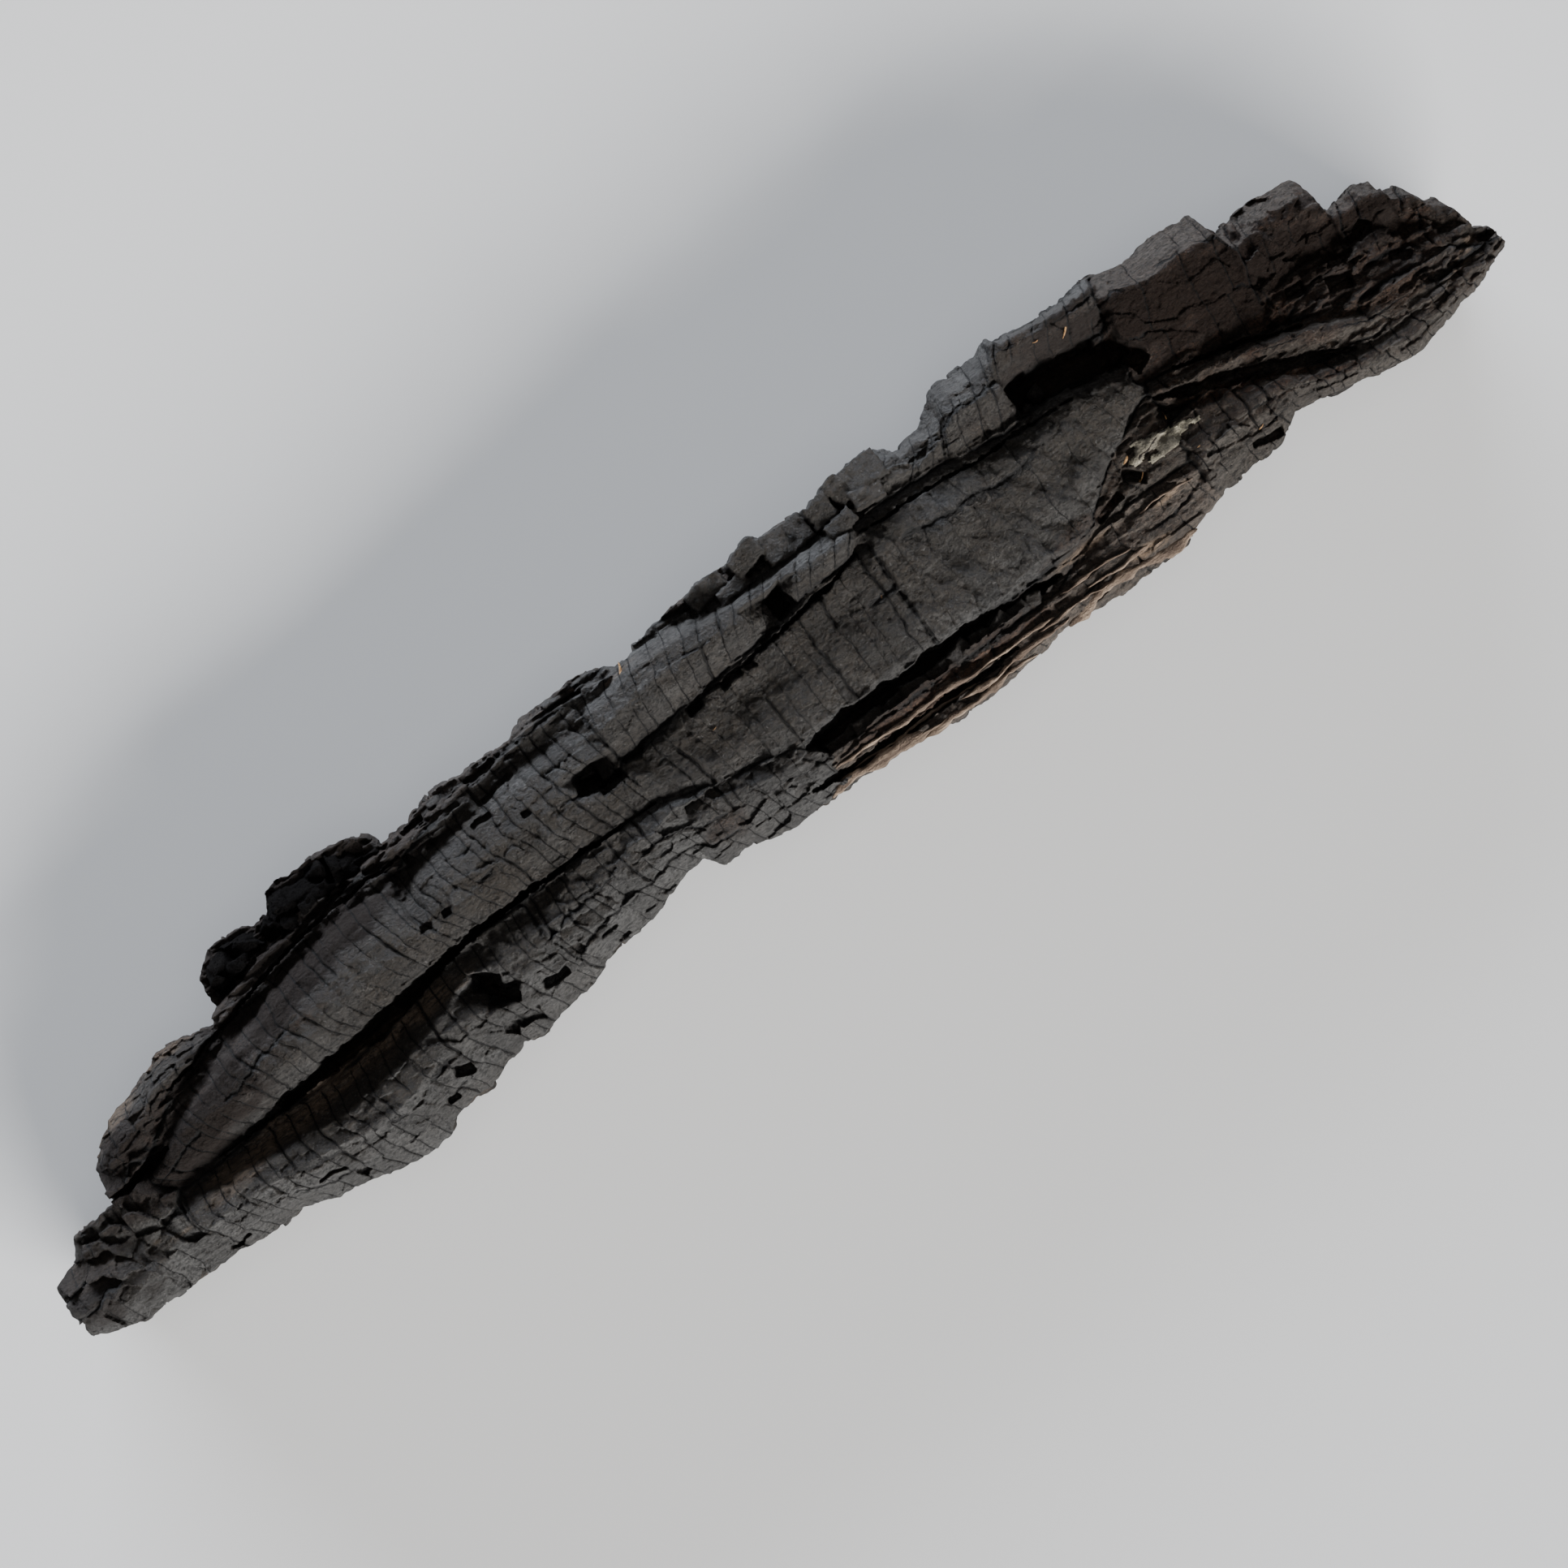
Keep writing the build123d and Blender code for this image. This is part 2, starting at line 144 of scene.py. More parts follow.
# Pieces that lie on top of the rest, in the order they are laid. round is the radius of
# their free edges.
RAISED = {
    "curled_lip": dict(row="back", outer="far", spacing=8, lanes=(0.2, 0.38, 0.56, 0.74), bricks=1, rough=0.7, cell=(14, 3), round=8.0),
    "knot_lump_outer": dict(row="back", outer="far", spacing=12, lanes=(0.5,), bricks=1, rough=3.2, cell=(10, 8), round=1.0),
    "knot_lump_inner": dict(row="back", outer="far", spacing=14, lanes=(0.45,), bricks=1, rough=3.0, cell=(11, 8), round=1.0),
    "top_edge_flakes": dict(row="back", outer="far", spacing=10, lanes=(0.4,), bricks=1, rough=2.6, cell=(11, 5), round=1.2),
}

# What lies between the ridges: broken char at this height, (distance along, height).
FILL = [(-300, 34), (-262, 36), (-200, 41), (-120, 42), (0, 44), (70, 44), (110, 38), (150, 35), (230, 33), (300, 35)]

# Deep lengthwise splits: (height of the floor, [(distance along, middle, half width)]).
SPLITS = [
    (21, [(-228, -13.4, 0.2), (-204, -12.3, 1.5), (-190, -11.8, 2.2), (-177, -10.9, 2.8), (-164, -10.1, 3.1),
          (-150, -8.5, 3.2), (-137, -5.7, 2.7), (-124, -3.9, 1.6), (-97, -2.9, 0.9), (-60, -3, 0.5), (-40, -3.4, 0.2)]),
    (22, [(10, -18.4, 0.4), (16, -19.6, 3.2), (25, -20, 4.2), (60, -20.2, 4.0), (78, -19.6, 3.4), (92, -20.8, 2.4),
          (106, -21, 1.8), (114, -21, 0.5)]),
    (25, [(2, -31.5, 0.3), (16, -33, 1.4), (45, -33.2, 1.7), (66, -33.2, 1.4), (88, -32.8, 0.4)]),
    (30, [(183, 12, 0.3), (196, 9, 1.0), (214, 3.4, 1.1), (228, -1.5, 0.3)]),
    (31, [(172, 8.5, 0.4), (180, 5, 1.8), (196, -1.5, 2.9), (210, -6.5, 3.1), (226, -13, 2.6), (238, -18.5, 0.6)]),
    (31, [(-266, -4, 0.3), (-258, -4, 1.8), (-246, -2.5, 2.2), (-238, -1.5, 0.4)]),
    (37, [(8, 15.6, 0.5), (20, 17.2, 0.7), (45, 20.4, 0.7), (62, 23.4, 0.5)]),
    (42, [(66, 29, 0.3), (100, 26.5, 0.5), (128, 24.8, 0.6), (150, 23.5, 0.4)]),
    (37, [(-228, 14, 0.3), (-205, 20, 0.6), (-180, 26, 0.5), (-150, 31, 0.7), (-120, 32, 0.3)]),
]

# Ground that fills the gaps between ridges: (x, y, half length, half width, turn, level).
MOUNDS = [
    (188, 5, 26, 12, -24, 43), (214, -6, 28, 11, -24, 41), (164, -7, 22, 8, 0, 41), (238, 7, 22, 9, -14, 41),
    (-22, -14.5, 26, 6, -10, 45), (260, -16, 36, 8, -6, 41), (262, -5, 28, 7, -8, 41), (262, 6, 14, 6, -20, 41), (277, -6, 18, 8, -35, 41), (246, -10, 14, 6, -20, 39), (-232, 8, 26, 9, 14, 46),
    (-262, -8, 22, 8, 10, 42), (-165, 30, 46, 7, 8, 47), (-98, 33, 44, 7, 3, 48), (-121, -22, 13, 9, -20, 41), (-50, 36, 30, 7, 0, 49),
    (100, 29.5, 46, 6, -5, 50), (180, 22, 16, 8, 0, 42),
]

# Blocks that stand free: (x, y, top, half length, half width, turn in degrees, tilt).
TOP_BLOCKS = [
    (14, 43.5, 53, 7.2, 3.7, 10, 0.16), (22, 38.5, 54, 6.2, 2.7, 8, -0.16),
    (31, 45.0, 56, 6.1, 4.3, 14, 0.2), (41.5, 41.5, 54, 5.1, 5.5, -4, -0.1),
    (50, 41.5, 52, 4.1, 5.1, 6, -0.12), (60, 42.5, 56, 5.1, 4.9, 4, 0.16),
    (69.5, 45, 57, 4.5, 5.1, 16, 0.14), (79, 44.5, 57, 6.9, 5.3, -2, -0.1),
    (63, 34.8, 57, 5.9, 2.9, 10, 0.14), (76, 37.2, 58, 5.9, 3.1, -8, -0.12),
]
CRUMBS = [
    (22, -22.6, 36, 6, 1.8, 4, 0.1), (33, -22.8, 39, 6, 2.2, -3, -0.12), (43, -23.2, 37, 4.6, 2.2, 6, 0.15),
    (52, -22.8, 40, 5, 2.4, -8, -0.15), (62, -23, 38, 5.4, 2.2, 5, 0.2), (71, -22.4, 41, 4.2, 2.6, 20, 0.2),
    (79, -22.6, 39, 4, 2.6, -15, 0.1), (87, -22.4, 41, 4.2, 2.8, 25, 0.2), (95, -22.6, 40, 3.4, 2.4, 10, 0.1),
    (101, -22.2, 39, 2.8, 2.2, -30, 0.2), (6, 15.6, 40, 2.2, 1.2, 20, 0.2), (0.5, 14.2, 41, 1.8, 1, -20, 0.2),
    (136, 29, 34, 3.6, 1.4, 40, 0.4), (143, 33, 31, 2.4, 2.4, 10, 0.3),
]

# Pits: (x, y, half length, half width, turn in degrees, how deep).
PITS = [
    (-121, -19, 5.5, 3.6, -30, 16), (-118.5, -25, 5.5, 3.2, -25, 14), (-144, -37.7, 3.4, 2.4, -20, 7),
    (-153, -43.5, 2.2, 1.6, 10, 5), (-123.6, -36, 2.6, 2.4, -40, 6), (-116, -36.5, 4.4, 2.6, -8, 5),
    (-100.7, -31, 5, 1.8, -6, 7), (-239, -40.6, 4.6, 0.8, -3, 4), (-200, -40, 5.5, 0.8, -6, 4),
    (-192, -45.6, 1.8, 2, 30, 5), (-78, -29.5, 3.4, 0.7, 4, 4), (-75, -32.6, 3, 0.9, 6, 4),
    (-126, 7, 2.6, 1.5, -25, 4), (-117.6, 7, 2.2, 1.4, -10, 5), (-77, 19, 1.8, 1.5, 0, 5),
    (-90.6, 25.2, 4.2, 1.3, 5, 5), (-80.5, 31.4, 7, 1.1, 6, 4), (-111, 37.7, 5, 1.5, 4, 6),
    (-82, 39, 6, 1, 4, 5), (-49.5, 41.8, 11, 0.9, -3, 5), (-117.6, 29, 1.6, 2.6, 0, 6),
    (-54.5, 14.5, 4.4, 3.6, -6, 18), (-48, 10.5, 5, 2.4, 0, 14), (31.8, 26, 4.2, 4.6, 12, 18),
    (38, 19.5, 6, 0.9, 4, 8), (22.4, 19, 4.4, 0.9, 6, 8), (196, -25, 6, 1.4, -6, 5),
    (152, -9.5, 2, 4.6, 50, 7), (139, -12.5, 6, 1.8, 12, 5), (-35, 13.4, 6, 1.4, 6, 9), (-25, 14.6, 5, 1.0, 8, 6),
    (-11.3, 14.2, 3.2, 2.2, 6, 13), (4, 15, 5, 1.5, 4, 10), (-4, 16, 4, 0.8, 8, 7), (12, 14.6, 2, 1.6, -10, 7),
    (138, 35, 5, 5.5, 6, 22), (148, 33.5, 7, 5.6, -4, 26), (160, 31.5, 7, 6.4, -10, 26), (170, 29, 5, 5, 10, 20),
    (175, 22, 4, 4, 30, 10), (160, 44.3, 4, 0.9, -60, 2), (-168, 44, 1.2, 5, 8, 9), (-142, 42, 1.1, 5, -14, 8),
    (-152, 33, 14, 1.4, 8, 6), (-186, 31, 8, 1.2, 14, 5), (-131, 34, 3, 1.2, 0, 6), (246, 3, 5, 3, -20, 6),
    (262, 13, 4, 2.4, 30, 5), (232, 9, 4, 2.6, -10, 5), (268, -2, 4, 2, -30, 5),
]

# Stains: (x, y, half length, half width, turn in degrees, strength). The soot is partly real soot and partly painted
# shade, laid on faces that lie in shade.
SOOT_AND_SHADE = [
    (-180, 26, 40, 5, 14, 0.3), (-226, 4, 34, 10, 12, 0.35), (-252, -1, 16, 7, 5, 0.7),
    (152, 33, 26, 11, 0, 0.6), (236, 3, 16, 6, -18, 0.35), (60, -22, 50, 6, 0, 0.5), (-95, 38, 40, 5, 3, 0.4),
    (-162, 43, 60, 17, 4, 1.0), (-286, -24, 22, 16, 0, 0.8), (212, 26, 78, 19, -12, 1.0), (-168, 21, 60, 11, 9, 1.0), (-256, 6, 18, 8, 20, 1.0), (-230, -2, 40, 13, 10, 1.0), (-246, 5, 28, 8, 16, 0.85), (-222, 10, 34, 5, 14, 0.5),
    (-178, 33, 26, 12, 8, 0.5), (-145, 44, 24, 9, 2, 0.6), (250, 22, 26, 8, -24, 0.4),
]
RUST = [
    (-183, -18.5, 40, 5, 5, 0.35), (-27, -24, 9, 5, 0, 0.8), (205, -9, 36, 3.5, -24, 0.9), (246, 3, 40, 15, -20, 0.7),
    (212, 26, 74, 22, -12, 0.9), (-238, -3, 34, 12, 8, 1.0), (-200, 9, 54, 11, 14, 0.85), (128, -13, 16, 3, 8, 0.8), (60, -28, 48, 4, 0, 0.9),
    (-248, 3, 30, 11, 8, 1.0),
]
# Pale tan is bare wood showing; the long patch by (-192, -17.5) is painted fill light on a slope in shade.
TAN_AND_PAINTED_FILL = [
    (141, -31, 9, 2.2, -4, 0.7), (160, -21, 8, 1.6, 2, 0.5), (123, -19, 12, 1.2, 2, 0.35), (286, -13, 9, 2.6, 30, 0.3),
    (-24, 38.5, 8, 1.0, 10, 0.5), (-250, 17, 16, 3.5, 25, 0.25), (-222, 26, 14, 3, 8, 0.25), (-283, -20, 10, 6, 0, 0.12), (170, -39, 6, 1.4, 0, 0.5), (-192, -17.5, 58, 5, 6, 0.3),
]

# Strands of bare wood along the near edge: (half width, lift, [(x, y)]).
STRANDS = [
    (0.8, 0.8, [(14, -29.3), (28, -29.6), (42, -30.6), (58, -30.2), (76, -31.4), (92, -30.6), (104, -31.4)]),
    (1.7, 0.7, [(8, -36.4), (18, -35.2), (26, -36.8), (36, -36.0), (48, -37.6)]),
    (1.1, 1.0, [(44, -39.6), (56, -38.4), (66, -39.8), (80, -38.2), (92, -38.0)]),
    (0.9, 0.8, [(62, -35.6), (76, -36.4), (92, -34.8), (108, -34.6)]),
    (2.0, 0.6, [(106, -36.8), (118, -34.8), (128, -33.2), (138, -34.8), (150, -36.4), (160, -35.4)]),
    (0.8, 0.6, [(118, -30.6), (132, -31.4), (144, -30.4)]),
    (0.7, 0.6, [(146, -20.2), (156, -19.6), (168, -20.8)]),
    (0.5, 0.6, [(20, -33.4), (36, -34.3), (52, -33.5), (70, -34.6)]),
    (0.5, 0.7, [(30, -38.2), (44, -37.3), (58, -37.9)]),
    (0.45, 0.6, [(96, -33.0), (112, -32.5), (130, -33.7)]),
    (0.5, 0.6, [(108, -27.2), (122, -26.4), (138, -27.6)]),
]

# Fallen needles and bark bits: (x, y, half length, half width, turn).
FLECKS = [
    (156, -8, 4.6, 0.8, 52), (151, -12.5, 3.4, 1.1, 36), (172.4, 0.8, 2.2, 1.1, 80), (160.5, 44.2, 3.6, 0.8, 48),
    (168, 40, 1.8, 0.6, 100), (-24.5, 38.2, 3.2, 1.3, 60), (153, -3, 1.8, 1.1, 30), (196, -20.6, 1.5, 0.5, 20),
    (150, 46, 1.2, 0.5, 0), (60, 8, 1.1, 0.5, 70), (-10, 5, 1.0, 0.4, 20), (175, -14, 1.2, 0.5, 10),
]


# Noise -------------------------------------------------------------------------------
PRIMES = (0x9E3779B1, 0x85EBCA77, 0xC2B2AE3D, 0x27D4EB2F)


def dice(seed, *whole):
    """A fixed random number from 0 to 1 for each whole-number place."""
    mixed = np.full(np.broadcast(*whole).shape, seed * 7919 + 17, np.uint32)
    for place, prime in zip(whole, PRIMES):
        mixed = mixed ^ (place.astype(np.int64) & 0xFFFFFFFF).astype(np.uint32) * np.uint32(prime)
        mixed = (mixed ^ (mixed >> 15)) * np.uint32(0x2C1B3C6D)
        mixed = (mixed ^ (mixed >> 12)) * np.uint32(0x297A2D39)
        mixed = mixed ^ (mixed >> 15)
    return (mixed / np.float32(2**32)).astype(np.float32)


def noise(seed, *coords):
    """Smooth noise from -1 to 1 that changes about once per unit."""
    whole = [np.floor(c) for c in coords]
    ease = [(c - w) * (c - w) * (3 - 2 * (c - w)) for c, w in zip(coords, whole)]
    total = 0.0
    for corner in product((0, 1), repeat=len(coords)):
        weight = 1.0
        for share, step in zip(ease, corner):
            weight = weight * (share if step else 1 - share)
        total = total + weight * dice(seed, *(w + step for w, step in zip(whole, corner)))
    return 2 * total - 1


def fractal(seed, octaves, *coords):
    """Noise with detail at half the size and half the strength, octave by octave."""
    return sum(
        noise(seed + k, *(c * 2.0**k for c in coords)) * 0.5**k for k in range(octaves)
    )


def ramp(value, low, high):
    """0 below low, 1 above high, and smooth between them."""
    share = np.clip((value - low) / (high - low), 0, 1)
    return share * share * (3 - 2 * share)


def facets(seed, step, tilt, *coords):
    """A broken surface: each cell is a flat facet, off by up to step, at its own tilt.

    Returns the height, from about -1 to 1, and the distance to the cell's border.
    """
    whole = [np.floor(c) for c in coords]
    nearest = np.full(np.broadcast(*coords).shape, 9.0, np.float32)
    second = nearest.copy()
    height = np.zeros_like(nearest)
    for corner in product((-1, 0, 1), repeat=len(coords)):
        places = [w + step for w, step in zip(whole, corner)]
        away = [
            c - p - 0.15 - 0.7 * dice(seed + 1 + n, *places)
            for n, (c, p) in enumerate(zip(coords, places))
        ]
        distance = np.sqrt(sum(a * a for a in away))
        plane = step * (2 * dice(seed + 9, *places) - 1)
        for n, a in enumerate(away):
            plane = plane + tilt * a * (2 * dice(seed + 5 + n, *places) - 1)
        closer = distance < nearest
        second = np.where(closer, nearest, np.minimum(second, distance))
        height = np.where(closer, plane, height)
        nearest = np.where(closer, distance, nearest)
    return height, second - nearest


def checks(seed, along, lane, spacing, bricks):
    """Crosswise shrinkage checks in numbered lanes, which jog by bricks from lane to lane.

    Returns the distance to the nearest check, that check's strength from 0 to 1, the
    random number of the block between two checks, the rung (a number that grows along
    the stick and is whole at each check), and the millimetres to a rung.
    """
    scaled = along / spacing
    index = np.floor(scaled)

    def place(k):
        return k + 0.7 * ((1 - bricks) * dice(seed + 1, k) + bricks * dice(seed + 1, k, lane))

    here = place(index)
    after = scaled >= here
    low = np.where(after, here, place(index - 1))
    high = np.where(after, place(index + 1), here)
    block = np.where(after, index, index - 1)
    lower_is_nearer = scaled - low < high - scaled
    gap = np.where(lower_is_nearer, scaled - low, high - scaled) * spacing
    nearest = np.where(lower_is_nearer, block, block + 1)
    rung = block + (scaled - low) / (high - low)
    strength = 0.6 * dice(seed + 2, nearest) + 0.4 * dice(seed + 2, nearest, lane)
    return gap, strength, dice(seed + 3, block, lane), rung, (high - low) * spacing


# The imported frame, read as heights -----------------------------------------------------
low, high = (np.array(corner) / MM for corner in cad_box)
xs = np.arange(low[0] - MARGIN, high[0] + MARGIN, PITCH, dtype=np.float32)
ys = np.arange(low[1] - MARGIN - 2, high[1] + MARGIN + 2, PITCH, dtype=np.float32)
zs = np.arange(low[2] - MARGIN, high[2] + MARGIN, PITCH, dtype=np.float32)
X, Y = np.meshgrid(xs, ys, indexing="ij")


def triangles(node):
    """A CAD node's triangles, in millimetres."""
    mesh = frame["nodes"][node].data
    mesh.calc_loop_triangles()
    points = np.empty(len(mesh.vertices) * 3, np.float32)
    mesh.vertices.foreach_get("co", points)
    corners = np.empty(len(mesh.loop_triangles) * 3, np.int32)
    mesh.loop_triangles.foreach_get("vertices", corners)
    return points.reshape(-1, 3)[corners.reshape(-1, 3)] / MM


def heights(nodes, side):
    """The nodes' top (side 1) or underside (side -1) over the grid, NaN where there is none."""
    found = np.full(X.shape, -np.inf, np.float32)
    for node in nodes:
        for a, b, c in triangles(node):
            i0, i1 = np.searchsorted(xs, (min(a[0], b[0], c[0]), max(a[0], b[0], c[0])))
            j0, j1 = np.searchsorted(ys, (min(a[1], b[1], c[1]), max(a[1], b[1], c[1])))
            ab, ac = b - a, c - a
            double_area = ab[0] * ac[1] - ab[1] * ac[0]
            if i0 == i1 or j0 == j1 or abs(double_area) < 1e-6:
                continue
            gx, gy = xs[i0:i1, None] - a[0], ys[None, j0:j1] - a[1]
            u = (gx * ac[1] - gy * ac[0]) / double_area
            v = (ab[0] * gy - ab[1] * gx) / double_area
            inside = (u > -1e-4) & (v > -1e-4) & (u + v < 1.0001)
            level = np.where(inside, side * (a[2] + u * ab[2] + v * ac[2]), -np.inf)
            patch = found[i0:i1, j0:j1]
            np.maximum(patch, level, out=patch)
    return np.where(np.isfinite(found), side * found, np.nan)


def blurred(values, radius):
    """The values smoothed along the first axis by a moving mean, twice."""
    reach = max(1, int(round(radius / PITCH)))
    for _ in range(2):
        padded = np.concatenate([values[:1]] * reach + [values] + [values[-1:]] * reach)
        total = np.cumsum(padded, axis=0, dtype=np.float64)
        total = np.concatenate([np.zeros_like(total[:1]), total])
        width = 2 * reach + 1
        values = ((total[width:] - total[:-width]) / width).astype(np.float32)
    return values


def profile(nodes, side=1):
    """How CAD nodes run along the stick: columns, near edge, far edge and cross profile."""
    level = heights(nodes, side)
    filled = np.isfinite(level)
    columns = np.nonzero(filled.sum(1) > 2)[0]
    near = np.array([ys[filled[i]][0] for i in columns], np.float32)
    far = np.array([ys[filled[i]][-1] for i in columns], np.float32)
    shares = np.linspace(0, 1, SHARES)
    cross = np.array(
        [
            np.interp(n + shares * (f - n), ys[filled[i]], level[i][filled[i]])
            for i, n, f in zip(columns, near, far)
        ],
        np.float32,
    )
    return xs[columns], blurred(near, 1.5), blurred(far, 1.5), blurred(cross, 3)


def spread(values, columns):
    """Values at some columns, carried to every column of the grid."""
    return np.interp(xs, columns, values).astype(np.float32)


def across(cross, columns, share):
    """A cross profile evaluated at each grid point's share across."""
    whole = np.stack([spread(cross[:, k], columns) for k in range(SHARES)], axis=1)
    place = np.clip(share, 0, 1) * (SHARES - 1)
    index = np.minimum(place.astype(np.int32), SHARES - 2)
    part = place - index
    rows = np.arange(len(xs))[:, None]
    return whole[rows, index] * (1 - part) + whole[rows, index + 1] * part


def edge(points, seed, wobble):
    """An outline through points, with small steps where shrinkage has broken it."""
    along, value = np.array(points, np.float32).T
    base = np.interp(xs, along, value)
    steps = dice(seed, np.floor(xs / 4.5 + noise(seed, xs / 6))) - 0.5
    return (base + wobble * (steps + 0.6 * noise(seed + 1, xs / 2.2))).astype(np.float32)


outline_near = edge(NEAR_EDGE, 11, 0.5)
outline_far = edge(FAR_EDGE, 12, 0.6)

# Every piece that the voxel block holds. Number 0 is the air.
LENGTHS = (-150, 0, 150)  # where the heartwood's skin is cut, to keep each mesh small
core_names = [f"heartwood_core_{k + 1}" for k in range(len(LENGTHS) + 1)]
under_names = [f"underside_char_{k + 1}" for k in range(4)]
names = ["air", *RIDGES, *RAISED, "top_edge_blocks", "split_crumbs", *core_names, *under_names]
number = {name: k for k, name in enumerate(names)}


def lean_of(row, inner):
    """How far a check has drifted along the stick at each grid point of a row."""
    along, by_near, by_far = np.array(LEANS[row], np.float32).T
    by_near, by_far = (np.interp(xs, along, values)[:, None] for values in (by_near, by_far))
    return by_near * (1 - inner) ** 2 + by_far * inner**2


wander = 1.3 * noise(21, X / 14, Y / 9) + 0.5 * noise(22, X / 5, Y / 3.5)
FAR = 99.0  # a distance larger than any that matters


def ridge(name, row, outer, spacing, lanes, bricks, rough, cell, folds=0.3, leather=0.0, curl=0.0, faint=0.42):
    """One ridge over the whole grid, as if it went on past its own edges.

    Returns its smooth height, the room to its edges (negative outside), the relief on it,
    and its marks: rung and rail are whole at the checks across and along it, crack and
    rail_crack say how open those are, and tone is random for each block.
    """
    seed = 100 + 10 * number[name]
    columns, near, far, cross = profile([name])
    start, end = columns[0], columns[-1] + PITCH
    near, far = spread(near, columns), spread(far, columns)
    tremble = (0.5 * noise(seed, xs / 5) + 0.3 * noise(seed + 1, xs / 1.8)).astype(np.float32)
    near = outline_near if "near" in outer else near + tremble
    far = outline_far if "far" in outer else far + tremble[::-1]
    width = np.maximum(far - near, 1)[:, None]
    share = (Y - near[:, None]) / width
    inner = np.clip(share, 0, 1)
    along = X - lean_of(row, inner) + wander
    height = across(cross, columns, share)

    lane_at = inner + 0.05 * noise(seed + 6, X / 11, Y / 20) + 0.02 * noise(seed + 7, X / 3, Y / 9)
    rail = np.interp(lane_at, (0, *lanes, 1), (0.5, *range(1, len(lanes) + 1), len(lanes) + 0.5))
    gap, strength, block, rung, pace = checks(seed, along, np.floor(rail), spacing, bricks)
    strong = ramp(strength, 0.55, 1.0)
    open_part = ramp(noise(seed + 8, along / spacing / 2, Y / 7), -0.8 - 0.6 * strong, -0.3)
    crack = open_part * (faint + (1 - faint) * strong)
    groove = np.clip(1.2 - gap / (0.5 + 0.3 * strong), 0, 1)
    lane_gap = np.min([np.abs(lane_at - bound) for bound in lanes], axis=0) * width
    rail_crack = ramp(noise(seed + 9, X / 10, Y / 40), 0.15 - 0.4 * bricks, 0.6)
    inside = rung - np.floor(rung) - 0.5
    relief = 0.5 * (block - 0.5) + 0.8 * inside * (dice(seed + 4, np.floor(block * 997)) - 0.5)
    relief += 0.3 - 1.2 * inside**2
    relief -= groove * (0.2 + 1.7 * crack**2) + 0.8 * np.clip(1.2 - lane_gap / 0.6, 0, 1) * rail_crack

    plane, border = facets(seed + 5, 0.5, 2.6, (X + 0.4 * Y) / cell[0] + np.floor(rail), Y / cell[1])
    relief += rough * plane - 0.2 * min(rough, 1) * np.clip(1 - border / 0.07, 0, 1)
    chip = ramp(fractal(seed + 6, 3, X / 9, Y / 5), 0.42, 0.48)
    relief -= min(0.45, 0.2 + 0.4 * rough) * chip
    relief += folds * fractal(seed + 7, 3, (X + 0.5 * Y) / 5, Y / 12)
    relief -= curl * np.clip(inner / 0.2 - 4, 0, 1) ** 2
    relief += leather * facets(seed + 8, 1, 1.5, X / 2.6, Y / 2.2)[0]

    room = np.minimum(along - start, end - along)
    if "near" not in outer:
        room = np.minimum(room, Y - near[:, None])
    if "far" not in outer:
        room = np.minimum(room, far[:, None] - Y)
    marks = dict(rung=rung, crack=crack, pace=pace, rail=rail, rail_crack=rail_crack, tone=block)
    return height, room, relief, marks


def split_floor(seed, floor, points):
    """Where a lengthwise split is open: its floor's height over the grid, or no limit."""
    along, middle, half = np.array(points, np.float32).T
    inside = (xs > along[0]) & (xs < along[-1])
    half = np.where(inside, np.interp(xs, along, half), -9)
    middle = np.interp(xs, along, middle) + 0.5 * noise(seed, xs / 7) + 0.25 * noise(seed + 1, xs / 2)
    half = half * (1 + 0.25 * noise(seed + 2, xs / 4)) + 0.25 * noise(seed + 3, xs / 1.7)
    room = half[:, None] - np.abs(Y - middle[:, None])
    depth = floor + 2.5 * noise(seed + 4, X / 9, Y / 4) + 1.2 * noise(seed + 5, X / 3, Y / 2)
    return np.where(room > 0, depth, 99.0)


def loose_block(seed, x, y, top, half_length, half_width, turn, tilt):
    """A loose block with a tilted top: its height over the grid, NOTHING outside it."""
    angle = math.radians(turn)
    dx, dy = X - x, Y - y
    along = dx * math.cos(angle) + dy * math.sin(angle) + 0.5 * noise(seed, X / 4, Y / 4)
    aside = dy * math.cos(angle) - dx * math.sin(angle) + 0.5 * noise(seed + 1, X / 4, Y / 4)
    room = np.minimum(half_length - np.abs(along), half_width - np.abs(aside))
    slope = tilt * along + 0.8 * tilt * aside
    height = top + slope + 0.5 * noise(seed + 2, X / 3, Y / 3) - 1.2 * np.clip(1 - room / 0.9, 0, 1) ** 2
    return np.where(room > 0, height, NOTHING)


def pit(seed, x, y, half_length, half_width, turn, deep):
    """How far a pit lowers the surface over the grid."""
    angle = math.radians(turn)
    dx = X - x + 0.8 * noise(seed, X / 4, Y / 4)
    dy = Y - y + 0.8 * noise(seed + 1, X / 4, Y / 4)
    along = np.abs(dx * math.cos(angle) + dy * math.sin(angle))
    aside = np.abs(dy * math.cos(angle) - dx * math.sin(angle))
    room = np.minimum(half_length - along, half_width - aside)
    return deep * ramp(room, 0, 0.7) * (1 + 0.15 * noise(seed + 2, X / 3, Y / 3))


def stain(seed, rows):
    """Soft-edged patches over the grid, from 0 to the strength of each."""
    found = np.zeros(X.shape, np.float32)
    for k, (x, y, half_length, half_width, turn, strength) in enumerate(rows):
        angle = math.radians(turn)
        along = ((X - x) * math.cos(angle) + (Y - y) * math.sin(angle)) / half_length
        aside = ((Y - y) * math.cos(angle) - (X - x) * math.sin(angle)) / half_width
        distance = np.sqrt(along**2 + aside**2) + 0.35 * fractal(seed + 4 * k, 3, X / 9, Y / 3)
        found = np.maximum(found, strength * ramp(-distance, -1.25, -0.55))
    return found


